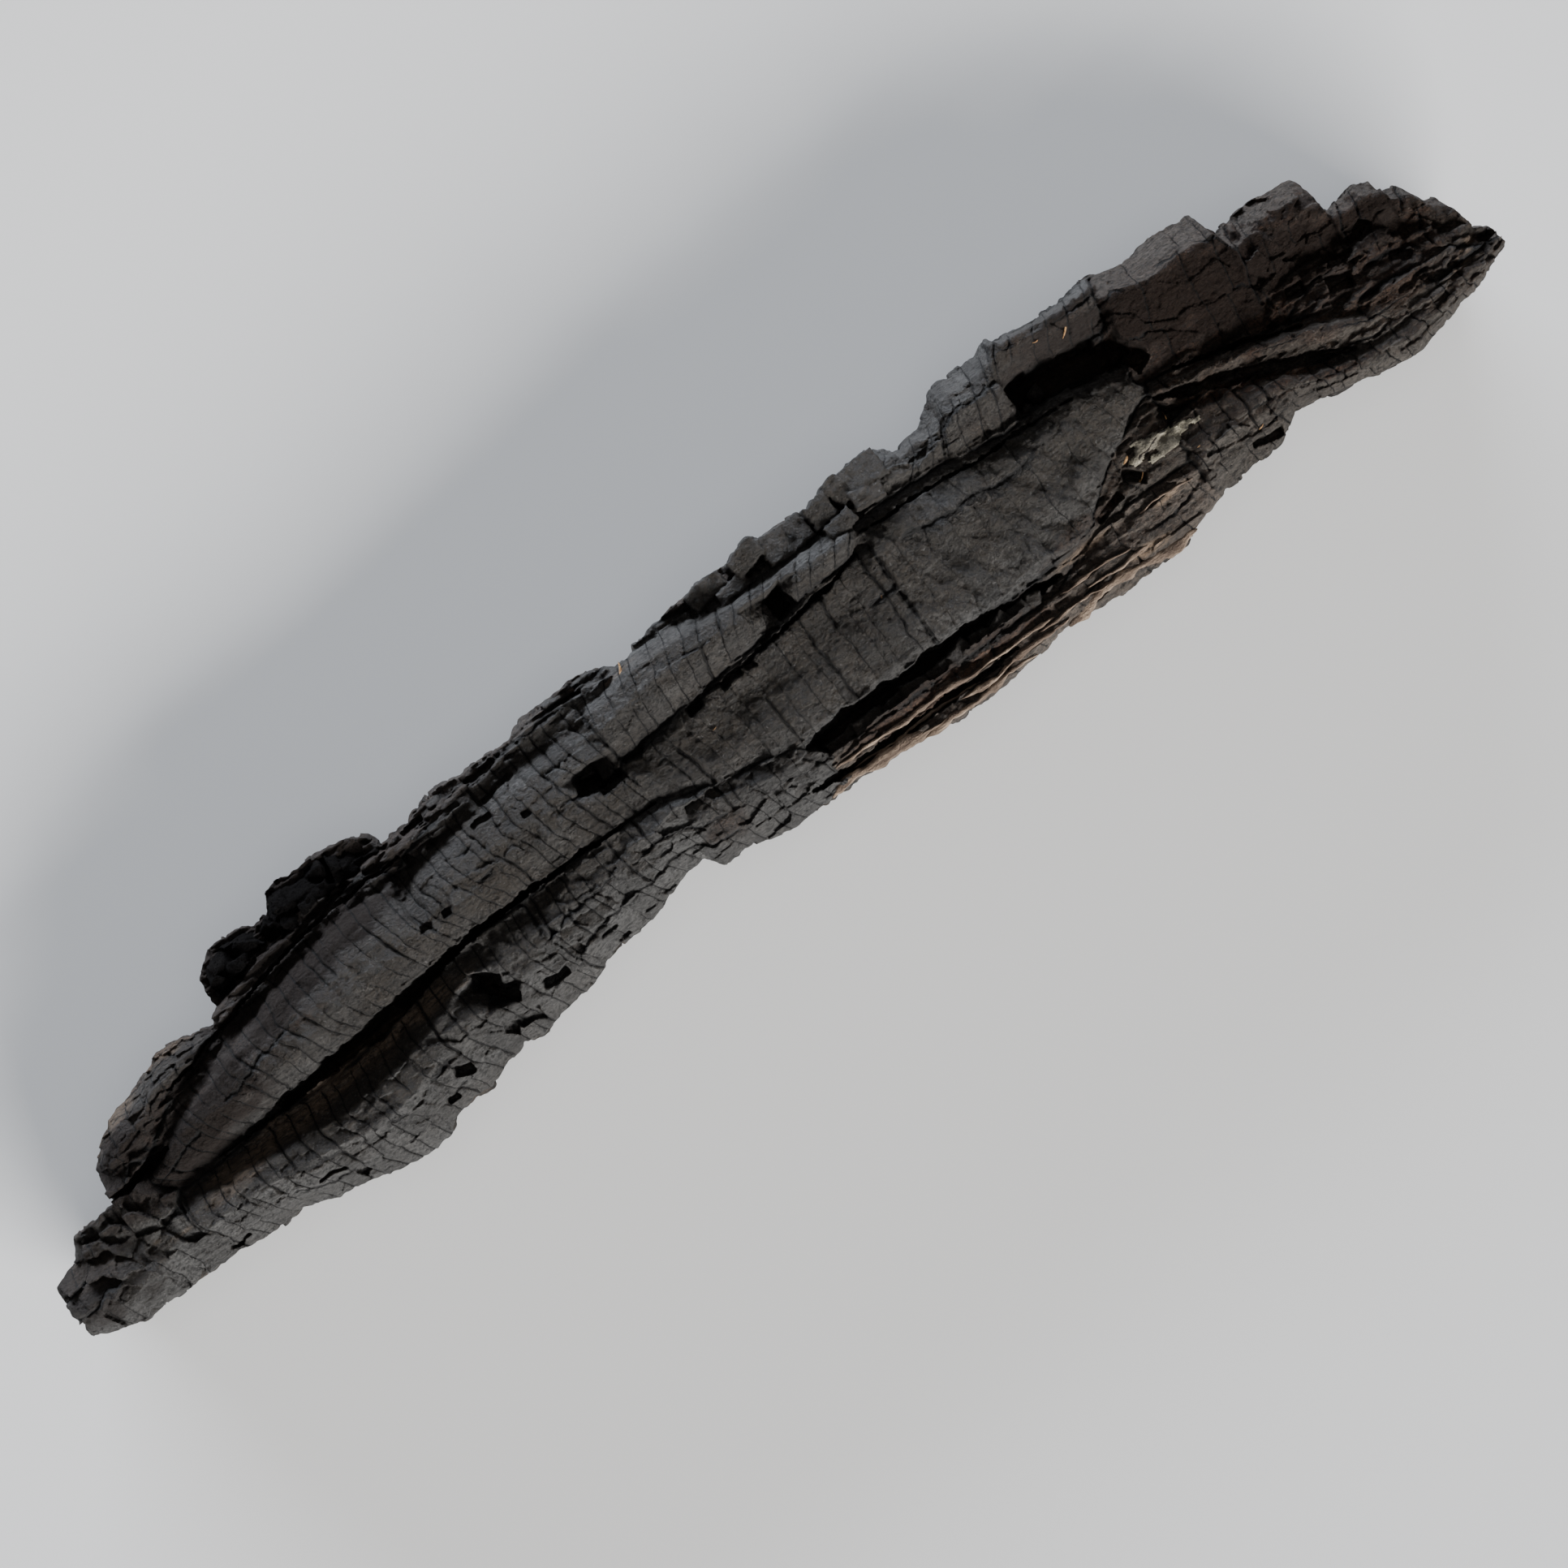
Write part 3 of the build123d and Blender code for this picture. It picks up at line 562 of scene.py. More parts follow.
# The top, seen from above: its height, which piece it is, its grooves and its tone.
plane, border = facets(31, 1, 1.6, (X + 0.3 * Y) / 13, Y / 8)
layers = np.floor(fractal(33, 3, X / 22, Y / 7) * 2.5)  # thin layers, broken in steps
fill = np.interp(xs, *np.array(FILL, np.float32).T)[:, None] + 0.8 * layers + 1.8 * plane
fill_relief = 1.5 * fractal(32, 4, X / 11, Y / 6) - 0.8 * np.clip(1 - border / 0.06, 0, 1)

core_at = np.full(xs.shape, number[core_names[0]], np.uint8)
for cut in LENGTHS:
    core_at[xs > cut] += 1

# Neighbouring ridges blend into one skin; each place belongs to the ridge it is most in.
BLEND = 1.6
OPEN = -3.2  # further than this from any ridge, the fill shows
weight = np.full(X.shape, math.exp(OPEN / BLEND), np.float32)
smooth = fill * weight
best = np.full(X.shape, OPEN, np.float32)
second = np.full(X.shape, -FAR, np.float32)
relief_at = fill_relief
nought = np.zeros(X.shape, np.float32)
marks_at = dict(rung=nought + 0.5, crack=nought, pace=nought + 6, rail=nought + 0.5, rail_crack=nought,
                tone=dice(34, np.floor(plane * 100)))
piece_at = np.repeat(core_at[:, None], len(ys), axis=1)
for name, style in RIDGES.items():
    height, room, relief, marks = ridge(name, **style)
    share = np.exp(np.clip(room, -20, 1) / BLEND)
    weight += share
    smooth += share * height
    mine = room > best
    second = np.where(mine, best, np.maximum(second, room))
    best = np.where(mine, room, best)
    relief_at = np.where(mine, relief, relief_at)
    marks_at = {key: np.where(mine, marks[key], old) for key, old in marks_at.items()}
    piece_at = np.where(mine, number[name], piece_at).astype(np.uint8)
seam = np.clip(1.2 - (best - second) / 1.1, 0, 1) * ramp(noise(35, X / 9, Y / 9), -0.6, 0.1)
shut = ramp(best - second, 0.6, 1.6)  # checks fade out where two pieces meet
marks_at["crack"] = marks_at["crack"] * shut
marks_at["rail_crack"] = marks_at["rail_crack"] * shut
groove_at = seam
flake, border = facets(36, 1, 1.6, (X + 0.5 * Y) / 15, Y / 2.8)  # broken layers in the gaps
relief_at = relief_at + (1.3 * flake - 0.7 * np.clip(1 - border / 0.08, 0, 1)) * ramp(-best, -1.5, 1.0)
base = smooth / weight
for k, (x, y, half_length, half_width, turn, level) in enumerate(MOUNDS):
    cover = stain(1100 + 9 * k, [(x, y, half_length, half_width, turn, 1)])
    base = np.maximum(base, DECK + (level - DECK) * cover)
top = base + relief_at - 1.3 * seam
top += 0.7 * noise(23, X / 16, Y / 8) + 0.35 * noise(24, X / 3, Y / 5) + 0.12 * noise(25, X / 1.2, Y / 1.8)


def lay(height, name, marks):
    """Puts a piece on the top where it stands higher than what is there."""
    higher = height > top
    top[higher] = height[higher]
    piece_at[higher] = number[name]
    groove_at[higher] = 0
    for key, old in marks_at.items():
        old[higher] = np.broadcast_to(marks[key], X.shape)[higher]


for name, style in RAISED.items():
    radius = style.pop("round")
    height, room, relief, marks = ridge(name, **style)
    bevel = np.clip(radius - room, 0, radius)
    height = height + relief - radius + np.sqrt(np.maximum(radius**2 - bevel**2, 0))
    lay(np.where(room > 0, height, NOTHING), name, marks)
for k, row in enumerate(TOP_BLOCKS):
    plain = dict(rung=0.5, crack=0, pace=6, rail=0.5, rail_crack=0, tone=(k * 0.37) % 1)
    lay(loose_block(400 + 5 * k, *row), "top_edge_blocks", plain)
for k, row in enumerate(PITS):
    top -= pit(600 + 5 * k, *row)
for k, row in enumerate(SPLITS):
    np.minimum(top, split_floor(700 + 8 * k, *row), out=top)
for k, row in enumerate(CRUMBS):
    plain = dict(rung=0.5, crack=0, pace=6, rail=0.5, rail_crack=0, tone=(k * 0.37) % 1)
    lay(loose_block(500 + 5 * k, *row), "split_crumbs", plain)
top = np.maximum(top, CORE_FLOOR + 3).astype(np.float32)
envelope = blurred(blurred(top, 4).T, 4).T

# Maps of soot with painted shade, of rust, and of tan with painted fill light.
stain_and_painted_light_maps = {"soot_and_shade": stain(800, SOOT_AND_SHADE), "rust": stain(900, RUST), "tan": stain(1000, TAN_AND_PAINTED_FILL)}

# The underside, from the CAD's lower layers, drawn out to the outline.
columns, near, far, cross = profile(["heartwood_core", *under_names], side=-1)
share = (Y - outline_near[:, None]) / np.maximum(outline_far - outline_near, 1)[:, None]
bottom = across(cross, columns, share)

# The voxel block ------------------------------------------------------------------------
side = np.maximum(outline_near[:, None] - Y, Y - outline_far[:, None])
end_wobble = 1.2 * noise(41, Y / 5) + 0.6 * noise(42, Y / 2)
side = np.maximum(side, low[0] + 1.5 + end_wobble - X)
side = np.maximum(side, X - high[0] + 0.3)
field = np.maximum(zs - top[..., None], bottom[..., None] - zs)
np.maximum(field, side[..., None], out=field)
for axis in range(3):  # the block's own faces are air
    rim = np.moveaxis(field, axis, 0)
    rim[0] = np.maximum(rim[0], PITCH)
    rim[-1] = np.maximum(rim[-1], PITCH)

under_at = core_at - number[core_names[0]] + number[under_names[0]]
layer_wobble = 1.2 * noise(51, X / 15, Y / 9)
deck_at = DECK - 0.5 + layer_wobble
piece = np.where(zs > deck_at[..., None], piece_at[..., None], core_at[:, None, None])
floor_at = CORE_FLOOR + layer_wobble
piece = np.where(zs < floor_at[..., None], under_at[:, None, None], piece)
piece[field >= 0] = 0
piece = np.ascontiguousarray(piece)


# From voxels to meshes ----------------------------------------------------------------
def skin(field, piece):
    """The faces between voxels of different pieces, as quads that share their vertices.

    Returns vertices in millimetres, whether each is on the outside, the quads, and the
    piece on the inner and the outer side of each quad.
    """
    shape = np.array(field.shape)
    strides = np.array([shape[1] * shape[2], shape[2], 1], np.int64)
    flat_field, flat_piece = field.ravel(), piece.ravel()
    quads, inner, outer = [], [], []
    for axis in range(3):
        one = [slice(None)] * 3
        two = [slice(None)] * 3
        one[axis], two[axis] = slice(0, -1), slice(1, None)
        places = np.nonzero(piece[tuple(one)] != piece[tuple(two)])
        start = sum(p * s for p, s in zip(places, strides))
        b, c = strides[(axis + 1) % 3], strides[(axis + 2) % 3]
        around = np.stack([start - b - c, start - c, start, start - b], axis=1)
        quads.append(around)
        inner.append(flat_piece[start])
        outer.append(flat_piece[start + strides[axis]])
    quads, inner, outer = np.concatenate(quads), np.concatenate(inner), np.concatenate(outer)
    swap = inner == 0
    quads[swap] = quads[swap][:, ::-1]
    inner[swap], outer[swap] = outer[swap], 0

    cells, quads = np.unique(quads, return_inverse=True)
    quads = quads.reshape(-1, 4)
    place = np.stack(np.unravel_index(cells, shape), axis=1).astype(np.float32)
    sums = np.zeros((2, len(cells), 3), np.float32)
    counts = np.zeros((2, len(cells)), np.float32)
    for axis in range(3):
        b, c = (axis + 1) % 3, (axis + 2) % 3
        for step_b, step_c in product((0, 1), repeat=2):
            first = cells + step_b * strides[b] + step_c * strides[c]
            second = first + strides[axis]
            differ = flat_piece[first] != flat_piece[second]
            open_air = (flat_piece[first] == 0) | (flat_piece[second] == 0)
            share = np.where(open_air, flat_field[first] / (flat_field[first] - flat_field[second] + 1e-9), 0.5)
            for kind, chosen in enumerate((differ & open_air, differ & ~open_air)):
                counts[kind] += chosen
                sums[kind, :, axis] += chosen * np.clip(share, 0, 1)
                sums[kind, :, b] += chosen * step_b
                sums[kind, :, c] += chosen * step_c
    outside = counts[0] > 0
    mean = np.where(
        outside[:, None],
        sums[0] / np.maximum(counts[0], 1)[:, None],
        sums[1] / np.maximum(counts[1], 1)[:, None],
    )
    corner = np.array([xs[0], ys[0], zs[0]], np.float32)
    return corner + (place + mean) * PITCH, outside, quads, inner, outer


def normals_of(points, quads):
    """The mean normal at each point, from the quads that meet there."""
    a, b, c, d = (points[quads[:, k]] for k in range(4))
    face = np.cross(c - a, d - b)
    found = np.zeros_like(points)
    for axis in range(3):
        weights = np.repeat(face[:, axis], 4)
        found[:, axis] = np.bincount(quads.ravel(), weights, len(points))
    return found / np.maximum(np.linalg.norm(found, axis=1, keepdims=True), 1e-9)


def coarsened(points, outside, quads, inner, outer):
    """Merges the points of hidden walls into a coarse lattice, as triangles."""
    hidden = np.nonzero(~outside)[0]
    home = np.floor(points[hidden] / INTERIOR).astype(np.int64)
    key = (home[:, 0] * 4096 + home[:, 1]) * 4096 + home[:, 2]
    groups, member = np.unique(key, return_inverse=True)
    size = np.bincount(member)
    merged = np.stack(
        [np.bincount(member, points[hidden, k]) / size for k in range(3)], axis=1
    ).astype(np.float32)
    new_index = np.arange(len(points))
    new_index[hidden] = len(points) + member
    points = np.concatenate([points, merged])
    walls = new_index[quads[outer != 0]]
    pairs = np.stack([inner[outer != 0], outer[outer != 0]], axis=1)
    corners = np.concatenate([walls[:, [0, 1, 2]], walls[:, [0, 2, 3]]])
    pairs = np.concatenate([pairs, pairs])
    a, b, c = corners.T
    proper = (a != b) & (b != c) & (c != a)
    return points, corners[proper], pairs[proper]


def sample(grid, points):
    """A map of the top read at points, between its grid places."""
    u = np.clip((points[:, 0] - xs[0]) / PITCH, 0, len(xs) - 1.001)
    v = np.clip((points[:, 1] - ys[0]) / PITCH, 0, len(ys) - 1.001)
    i, j = u.astype(int), v.astype(int)
    u, v = u - i, v - j
    low_side = grid[i, j] * (1 - u) + grid[i + 1, j] * u
    high_side = grid[i, j + 1] * (1 - u) + grid[i + 1, j + 1] * u
    return low_side * (1 - v) + high_side * v


points, outside, quads, inner, outer = skin(field, piece)
visible = outer == 0
normals = normals_of(points, quads[visible])
points_count = len(points)
print("voxels", field.shape, "points", points_count, "visible quads", int(visible.sum()))

# Walls and underside get their checks along the normal, since no height map shows them.
x, y, z = points.T
section_middle = (np.interp(x, xs, outline_near) + np.interp(x, xs, outline_far)) / 2
around = np.arctan2(z - 24, (y - section_middle) * 0.7) * 42
depth_below = sample(envelope, points) - z
wall = ramp(depth_below, 2.0, 6.0) * (1 - ramp(normals[:, 2], 0.55, 0.9))
lane_at = around / 15 + 0.25 * noise(71, x / 30, around / 15) + 0.06 * noise(72, x / 5, around / 9)
drift = x + 3 * noise(73, x / 25, around / 18) + 0.9 * noise(74, x / 5, around / 4)
gap, strength, block_dice, wall_rung, wall_pace = checks(75, drift, np.floor(lane_at), 7.5, 0.8)
wall_crack = ramp(noise(76, drift / 14, around / 8), -0.9, -0.3) * (0.3 + 0.7 * ramp(strength, 0.4, 0.95))
lane_gap = np.abs(lane_at - np.rint(lane_at)) * 15
lane_crack = ramp(noise(77, x / 26, around / 15), -0.3, 0.3)
plane, border = facets(78, 1, 1.2, x / 16, y / 9, z / 9)
push = 0.9 * plane + 0.9 * (block_dice - 0.5) + 0.5 * noise(79, x / 6, y / 3, z / 3)
push -= np.clip(1.2 - gap / 0.7, 0, 1) * (0.3 + 1.8 * wall_crack**2)
push -= 1.8 * np.clip(1 - lane_gap / 1.2, 0, 1) * lane_crack
resting = ramp(z, 0.5, 4)  # the face that the stick rests on stays flat
push = np.where(outside, push * wall, 0) * resting
fine = 0.16 * noise(81, x / 1.2, y / 1.2, z / 1.2) + 0.18 * noise(82, x / 2, y / 3.2, z / 2.4)
fine -= 0.15 * ramp(noise(83, x / 2, y / 1.7, z / 1.7), 0.45, 0.7)  # small pits
points = points + normals * (push + np.where(outside, fine * resting, 0))[:, None]

on_wall = wall > 0.5
shut = ramp(np.abs(wall - 0.5), 0.1, 0.4)
marks = {key: sample(np.asarray(grid, np.float32), points) for key, grid in marks_at.items()}
# Painted light: faces turned to the key lamp (-y) are greyer, more so on the near side, and far-facing slopes from
# about x -140 on get a painted rim highlight.
key_side_share = ramp(-y, -2, 24)
rim_highlight_faces = ramp(normals[:, 1], 0.4, 0.75) * ramp(x, -140, -60)
masks = {
    "rung": np.where(on_wall, wall_rung, marks["rung"]),
    "crack": np.where(on_wall, wall_crack, marks["crack"]) * shut,
    "pace": np.where(on_wall, wall_pace, marks["pace"]),
    "rail": np.where(on_wall, lane_at, marks["rail"]),
    "rail_crack": np.where(on_wall, lane_crack, marks["rail_crack"]) * shut,
    "tone": np.where(on_wall, block_dice, marks["tone"]),
    "groove": sample(groove_at, points) * (1 - wall),
    # Painted shade: darker the deeper a place lies below the smoothed top.
    "recess_shade": ramp(depth_below, 3.0, 16),
    "ash": ramp(-normals[:, 1], -0.15, 0.55) * (0.35 + 0.65 * key_side_share) + 0.8 * rim_highlight_faces,
}
# Soot, rust and tan fade on walls, and on far-facing slopes so that the painted rim highlight shows there.
for kind, grid in stain_and_painted_light_maps.items():
    masks[kind] = sample(grid, points) * (1 - 0.6 * wall) * (1 - 0.8 * rim_highlight_faces)

everything, wall_corners, wall_pairs = coarsened(points, outside, quads, inner, outer)
pad = np.zeros(len(everything) - points_count, np.float32)
masks = {key: np.concatenate([values, pad]) for key, values in masks.items()}


def mesh_object(name, points, faces, masks=None):
    """A mesh object from millimetre points and faces of three or four corners."""
    mesh = bpy.data.meshes.new(name)
    mesh.vertices.add(len(points))
    mesh.vertices.foreach_set("co", (points * MM).astype(np.float32).ravel())
    loops = np.concatenate([f.ravel() for f in faces])
    sizes = np.concatenate([np.full(len(f), f.shape[1]) for f in faces])
    mesh.loops.add(len(loops))
    mesh.loops.foreach_set("vertex_index", loops.astype(np.int32))
    mesh.polygons.add(len(sizes))
    starts = np.concatenate([[0], np.cumsum(sizes)[:-1]])
    mesh.polygons.foreach_set("loop_start", starts.astype(np.int32))
    mesh.update(calc_edges=True)
    mesh.validate()
    for key, values in (masks or {}).items():
        layer = mesh.attributes.new(key, "FLOAT", "POINT")
        layer.data.foreach_set("value", values.astype(np.float32))
    made = bpy.data.objects.new(name, mesh)
    bpy.context.scene.collection.objects.link(made)
    return made


def piece_object(name):
    """The closed mesh of one piece's voxels."""
    mine = number[name]
    shown = quads[visible & (inner == mine)]
    forward = wall_corners[wall_pairs[:, 0] == mine]
    backward = wall_corners[wall_pairs[:, 1] == mine][:, ::-1]
    walls = np.concatenate([forward, backward])
    if len(walls):
        order = np.sort(walls, axis=1)
        first = np.argmin(walls, axis=1)
        rolled = np.stack([walls[np.arange(len(walls)), (first + k) % 3] for k in range(3)], axis=1)
        sign = np.where(rolled[:, 1] < rolled[:, 2], 1, -1)
        kinds, member = np.unique(order, axis=0, return_inverse=True)
        balance = np.bincount(member.ravel(), sign, len(kinds))
        kept = kinds[balance != 0]
        flip = balance[balance != 0] < 0
        kept[flip] = kept[flip][:, [0, 2, 1]]
        walls = kept
    used = np.unique(np.concatenate([shown.ravel(), walls.ravel()]))
    local = np.zeros(len(everything), np.int64)
    local[used] = np.arange(len(used))
    faces = [local[f] for f in (shown, walls) if len(f)]
    return mesh_object(name + "_skin", everything[used], faces, {k: v[used] for k, v in masks.items()})


# Materials ----------------------------------------------------------------------------
class Nodes:
    """A material's node tree, with short ways to add what the charcoal needs."""

    def __init__(self, name):
        self.material = bpy.data.materials.new(name)
        self.material.use_nodes = True
        self.tree = self.material.node_tree
        self.shader = self.tree.nodes["Principled BSDF"]
        coords = self.tree.nodes.new("ShaderNodeTexCoord")
        self.place = coords.outputs["Object"]

    def link(self, value, socket):
        if isinstance(value, bpy.types.NodeSocket):
            self.tree.links.new(value, socket)
        else:
            socket.default_value = value

    def stretched(self, scale):
        """Object coordinates, scaled apart along the stick and across it."""
        mapping = self.tree.nodes.new("ShaderNodeMapping")
        mapping.inputs["Scale"].default_value = scale
        self.link(self.place, mapping.inputs["Vector"])
        return mapping.outputs["Vector"]

    def noise(self, scale, detail=4.0, roughness=0.6):
        node = self.tree.nodes.new("ShaderNodeTexNoise")
        self.link(self.stretched(scale), node.inputs["Vector"])
        node.inputs["Scale"].default_value = 1.0
        node.inputs["Detail"].default_value = detail
        node.inputs["Roughness"].default_value = roughness
        return node.outputs["Fac"]

    def crackle(self, scale):
        """Distance to the border of irregular cells."""
        node = self.tree.nodes.new("ShaderNodeTexVoronoi")
        node.feature = "DISTANCE_TO_EDGE"
        self.link(self.stretched(scale), node.inputs["Vector"])
        node.inputs["Scale"].default_value = 1.0
        return node.outputs["Distance"]

    def mask(self, name):
        node = self.tree.nodes.new("ShaderNodeAttribute")
        node.attribute_name = name
        return node.outputs["Fac"]

    def range(self, value, low, high, to_low=0.0, to_high=1.0):
        node = self.tree.nodes.new("ShaderNodeMapRange")
        for key, number in zip(("Value", "From Min", "From Max", "To Min", "To Max"),
                               (value, low, high, to_low, to_high)):
            self.link(number, node.inputs[key])
        return node.outputs["Result"]

    def math(self, operation, a, b):
        node = self.tree.nodes.new("ShaderNodeMath")
        node.operation = operation
        self.link(a, node.inputs[0])
        self.link(b, node.inputs[1])
        return node.outputs["Value"]

    def mix(self, share, a, b):
        node = self.tree.nodes.new("ShaderNodeMix")
        node.data_type = "RGBA"
        self.link(share, node.inputs[0])
        self.link(a if isinstance(a, bpy.types.NodeSocket) else (*a, 1), node.inputs[6])
        self.link(b if isinstance(b, bpy.types.NodeSocket) else (*b, 1), node.inputs[7])
        return node.outputs[2]

    def bump(self, height, distance, strength=1.0, below=None):
        node = self.tree.nodes.new("ShaderNodeBump")
        node.inputs["Distance"].default_value = distance
        node.inputs["Strength"].default_value = strength
        self.link(height, node.inputs["Height"])
        if below is not None:
            self.link(below, node.inputs["Normal"])
        return node.outputs["Normal"]


def crack_lines(m, counter, openness, spacing, width):
    """Thin dark lines where the counter is whole: 1 in the middle of a line, 0 outside.

    spacing is the millimetres to one count, and width is how wide an open crack is.
    """
    wobble = m.range(m.noise((700, 900, 900), 3, 0.6), 0, 1, -0.06, 0.06)
    place = m.math("ADD", m.mask(counter), wobble)
    away = m.math("ABSOLUTE", m.math("SUBTRACT", place, m.math("ROUND", place, 0)), 0)
    half = m.math("DIVIDE", m.range(m.mask(openness), 0, 1, 0.3 * width, width), spacing)
    line = m.range(m.math("DIVIDE", away, half), 0.45, 1.0, 1.0, 0.0)
    return m.math("MULTIPLY", line, m.range(m.mask(openness), 0.02, 0.5))


# The colour of soot and of painted shade.
SOOT_AND_SHADE_COLOUR = (0.0095, 0.0058, 0.0042)


def char_material(name, grey, brown, black, gloss=0.3, soot_and_shade_colour=SOOT_AND_SHADE_COLOUR, pale=(0.30, 0.21, 0.14)):
    """Charcoal: grey leathery skin, greyer on faces turned to the lamps (painted light) and browner elsewhere, black in
    the cracks, and painted shade towards black in recesses.
    """
    m = Nodes(name)
    fibres = m.noise((130, 1000, 1000), 6, 0.65)
    pebbles_and_pit_shade = m.noise((620, 620, 620), 5, 0.7)
    patches = m.noise((38, 75, 75), 5, 0.6)
    specks = m.noise((900, 900, 900), 2, 0.6)
    crackle = m.crackle((300, 480, 480))
    lines = m.math("MAXIMUM", crack_lines(m, "rung", "crack", m.mask("pace"), 0.5),
                   crack_lines(m, "rail", "rail_crack", 11, 0.5))
    groove, recess_shade, tone, ash = m.mask("groove"), m.mask("recess_shade"), m.mask("tone"), m.mask("ash")
    # Grey against brown: random patches, and painted light that makes faces turned to the lamps greyer and the rest
    # browner.
    grey_and_painted_light = m.math("ADD", m.range(patches, 0.3, 0.7, -0.45, 0.3), m.range(ash, 0, 1, 0.0, 1.0))
    colour = m.mix(m.range(grey_and_painted_light, 0, 1), brown, grey)
    rust = tuple(c * k for c, k in zip(brown, (1.1, 0.72, 0.5)))
    colour = m.mix(m.range(m.mask("rust"), 0, 1, 0, 0.85), colour, rust)
    colour = m.mix(m.range(fibres, 0.33, 0.55, 0.6, 0.0), colour, black)
    # Dark in the low parts of the pebble bump: partly the char's own mottle, partly painted shade in the small hollows.
    colour = m.mix(m.range(pebbles_and_pit_shade, 0.38, 0.54, 0.7, 0.0), colour, black)
    colour = m.mix(m.range(specks, 0.62, 0.76, 0.0, 0.4), colour, tuple(2.4 * c for c in grey))
    colour = m.mix(m.range(tone, 0, 1, 0.0, 0.4), colour, black)
    # Pale tan of bare wood, and painted fill light on one shaded slope.
    colour = m.mix(m.math("MULTIPLY", m.mask("tan"), m.range(fibres, 0.4, 0.52, 0.1, 1)), colour, pale)
    leather = m.math("MULTIPLY", m.range(crackle, 0.0, 0.07, 1.0, 0.0), m.range(m.mask("rust"), 0, 1, 0.15, 0.8))
    colour = m.mix(leather, colour, black)
    # Soot, and painted shade on faces that lie in shade, towards the soot colour.
    colour = m.mix(m.range(m.mask("soot_and_shade"), 0, 1, 0, 0.92), colour, soot_and_shade_colour)
    colour = m.mix(m.range(m.math("MAXIMUM", groove, lines), 0.1, 0.7, 0.0, 0.93), colour, black)
    # Painted shade: towards black the deeper a place lies in a recess.
    colour = m.mix(m.range(recess_shade, 0.35, 1.0, 0.0, 0.6), colour, black)
    m.link(colour, m.shader.inputs["Base Color"])
    m.link(m.math("MAXIMUM", m.range(pebbles_and_pit_shade, 0.3, 0.7, 0.5, 0.85), m.mask("soot_and_shade")), m.shader.inputs["Roughness"])
    m.shader.inputs["Specular IOR Level"].default_value = gloss
    bumps = m.bump(m.range(leather, 0, 1, 1, 0), 0.0004)
    bumps = m.bump(fibres, 0.0009, 1.0, bumps)
    bumps = m.bump(pebbles_and_pit_shade, 0.0027, 1.0, bumps)
    bumps = m.bump(m.range(lines, 0, 1, 1, 0), 0.0005, 1.0, bumps)
    m.link(bumps, m.shader.inputs["Normal"])
    return m.material


GREY, BROWN, BLACK = (0.088, 0.086, 0.083), (0.036, 0.0285, 0.0215), (0.005, 0.0045, 0.0045)
materials = {
    "char": char_material("char", GREY, BROWN, BLACK),
    "brown_char": char_material("brown_char", (0.096, 0.085, 0.074), (0.052, 0.036, 0.026), BLACK, 0.15),
    "black_char": char_material("black_char", (0.030, 0.029, 0.029), (0.014, 0.012, 0.011), BLACK, 0.04, BLACK),
    "heartwood": char_material("heartwood", (0.075, 0.064, 0.055), (0.055, 0.038, 0.028), BLACK),
    "pale_wood": char_material("pale_wood", (0.13, 0.105, 0.085), (0.075, 0.052, 0.038), BLACK),
}


def dry_material(name, light, dark, scale, bump):
    """Dry matter in two colours: torn wood, needles or lichen."""
    m = Nodes(name)
    streaks = m.noise(scale, 5, 0.65)
    grains = m.noise((1500, 1500, 1500), 3, 0.6)
    colour = m.mix(m.range(streaks, 0.38, 0.6), dark, light)
    colour = m.mix(m.range(grains, 0.35, 0.5, 0.4, 0.0), colour, dark)
    colour = m.mix(m.range(m.noise((70, 160, 160), 4, 0.6), 0.42, 0.6, 0.0, 0.85), colour, dark)
    m.link(colour, m.shader.inputs["Base Color"])
    m.shader.inputs["Roughness"].default_value = 0.85
    m.link(m.bump(grains, bump, 1.0, m.bump(streaks, bump)), m.shader.inputs["Normal"])
    return m.material


materials["torn_wood"] = dry_material("torn_wood", (0.29, 0.215, 0.155), (0.07, 0.045, 0.03), (90, 900, 900), 0.0008)
materials["needle_litter"] = dry_material("needle_litter", (0.50, 0.30, 0.13), (0.20, 0.10, 0.04), (300, 900, 900), 0.0004)
materials["lichen"] = dry_material("lichen", (0.46, 0.42, 0.31), (0.10, 0.088, 0.066), (420, 420, 420), 0.0012)


# Pieces ---------------------------------------------------------------------------------
slots = {row["node"]: row["material_slot"] for row in frame["record"]["subparts"]}


# Pieces whose char differs from the rest of their slot.
OTHER_LOOKS = {
    "knot_lump_outer": "black_char",
    "knot_lump_inner": "black_char",
    "right_roll_wall": "brown_char",
}


def finished(made, node, material=None):
    """A piece rides on the one body, stands for its node and takes that node's slot."""
    made.data.materials.append(materials[material or slots[node]])
    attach(made, "root")
    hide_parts(node)


for name in names[1:]:
    node = "heartwood_core" if name in core_names else name
    if (inner == number[name]).any():
        finished(piece_object(name), node, OTHER_LOOKS.get(name))


def ground(x, y):
    """The height of the surface below points seen from above."""
    return sample(envelope_low, np.stack([x, y], axis=1))


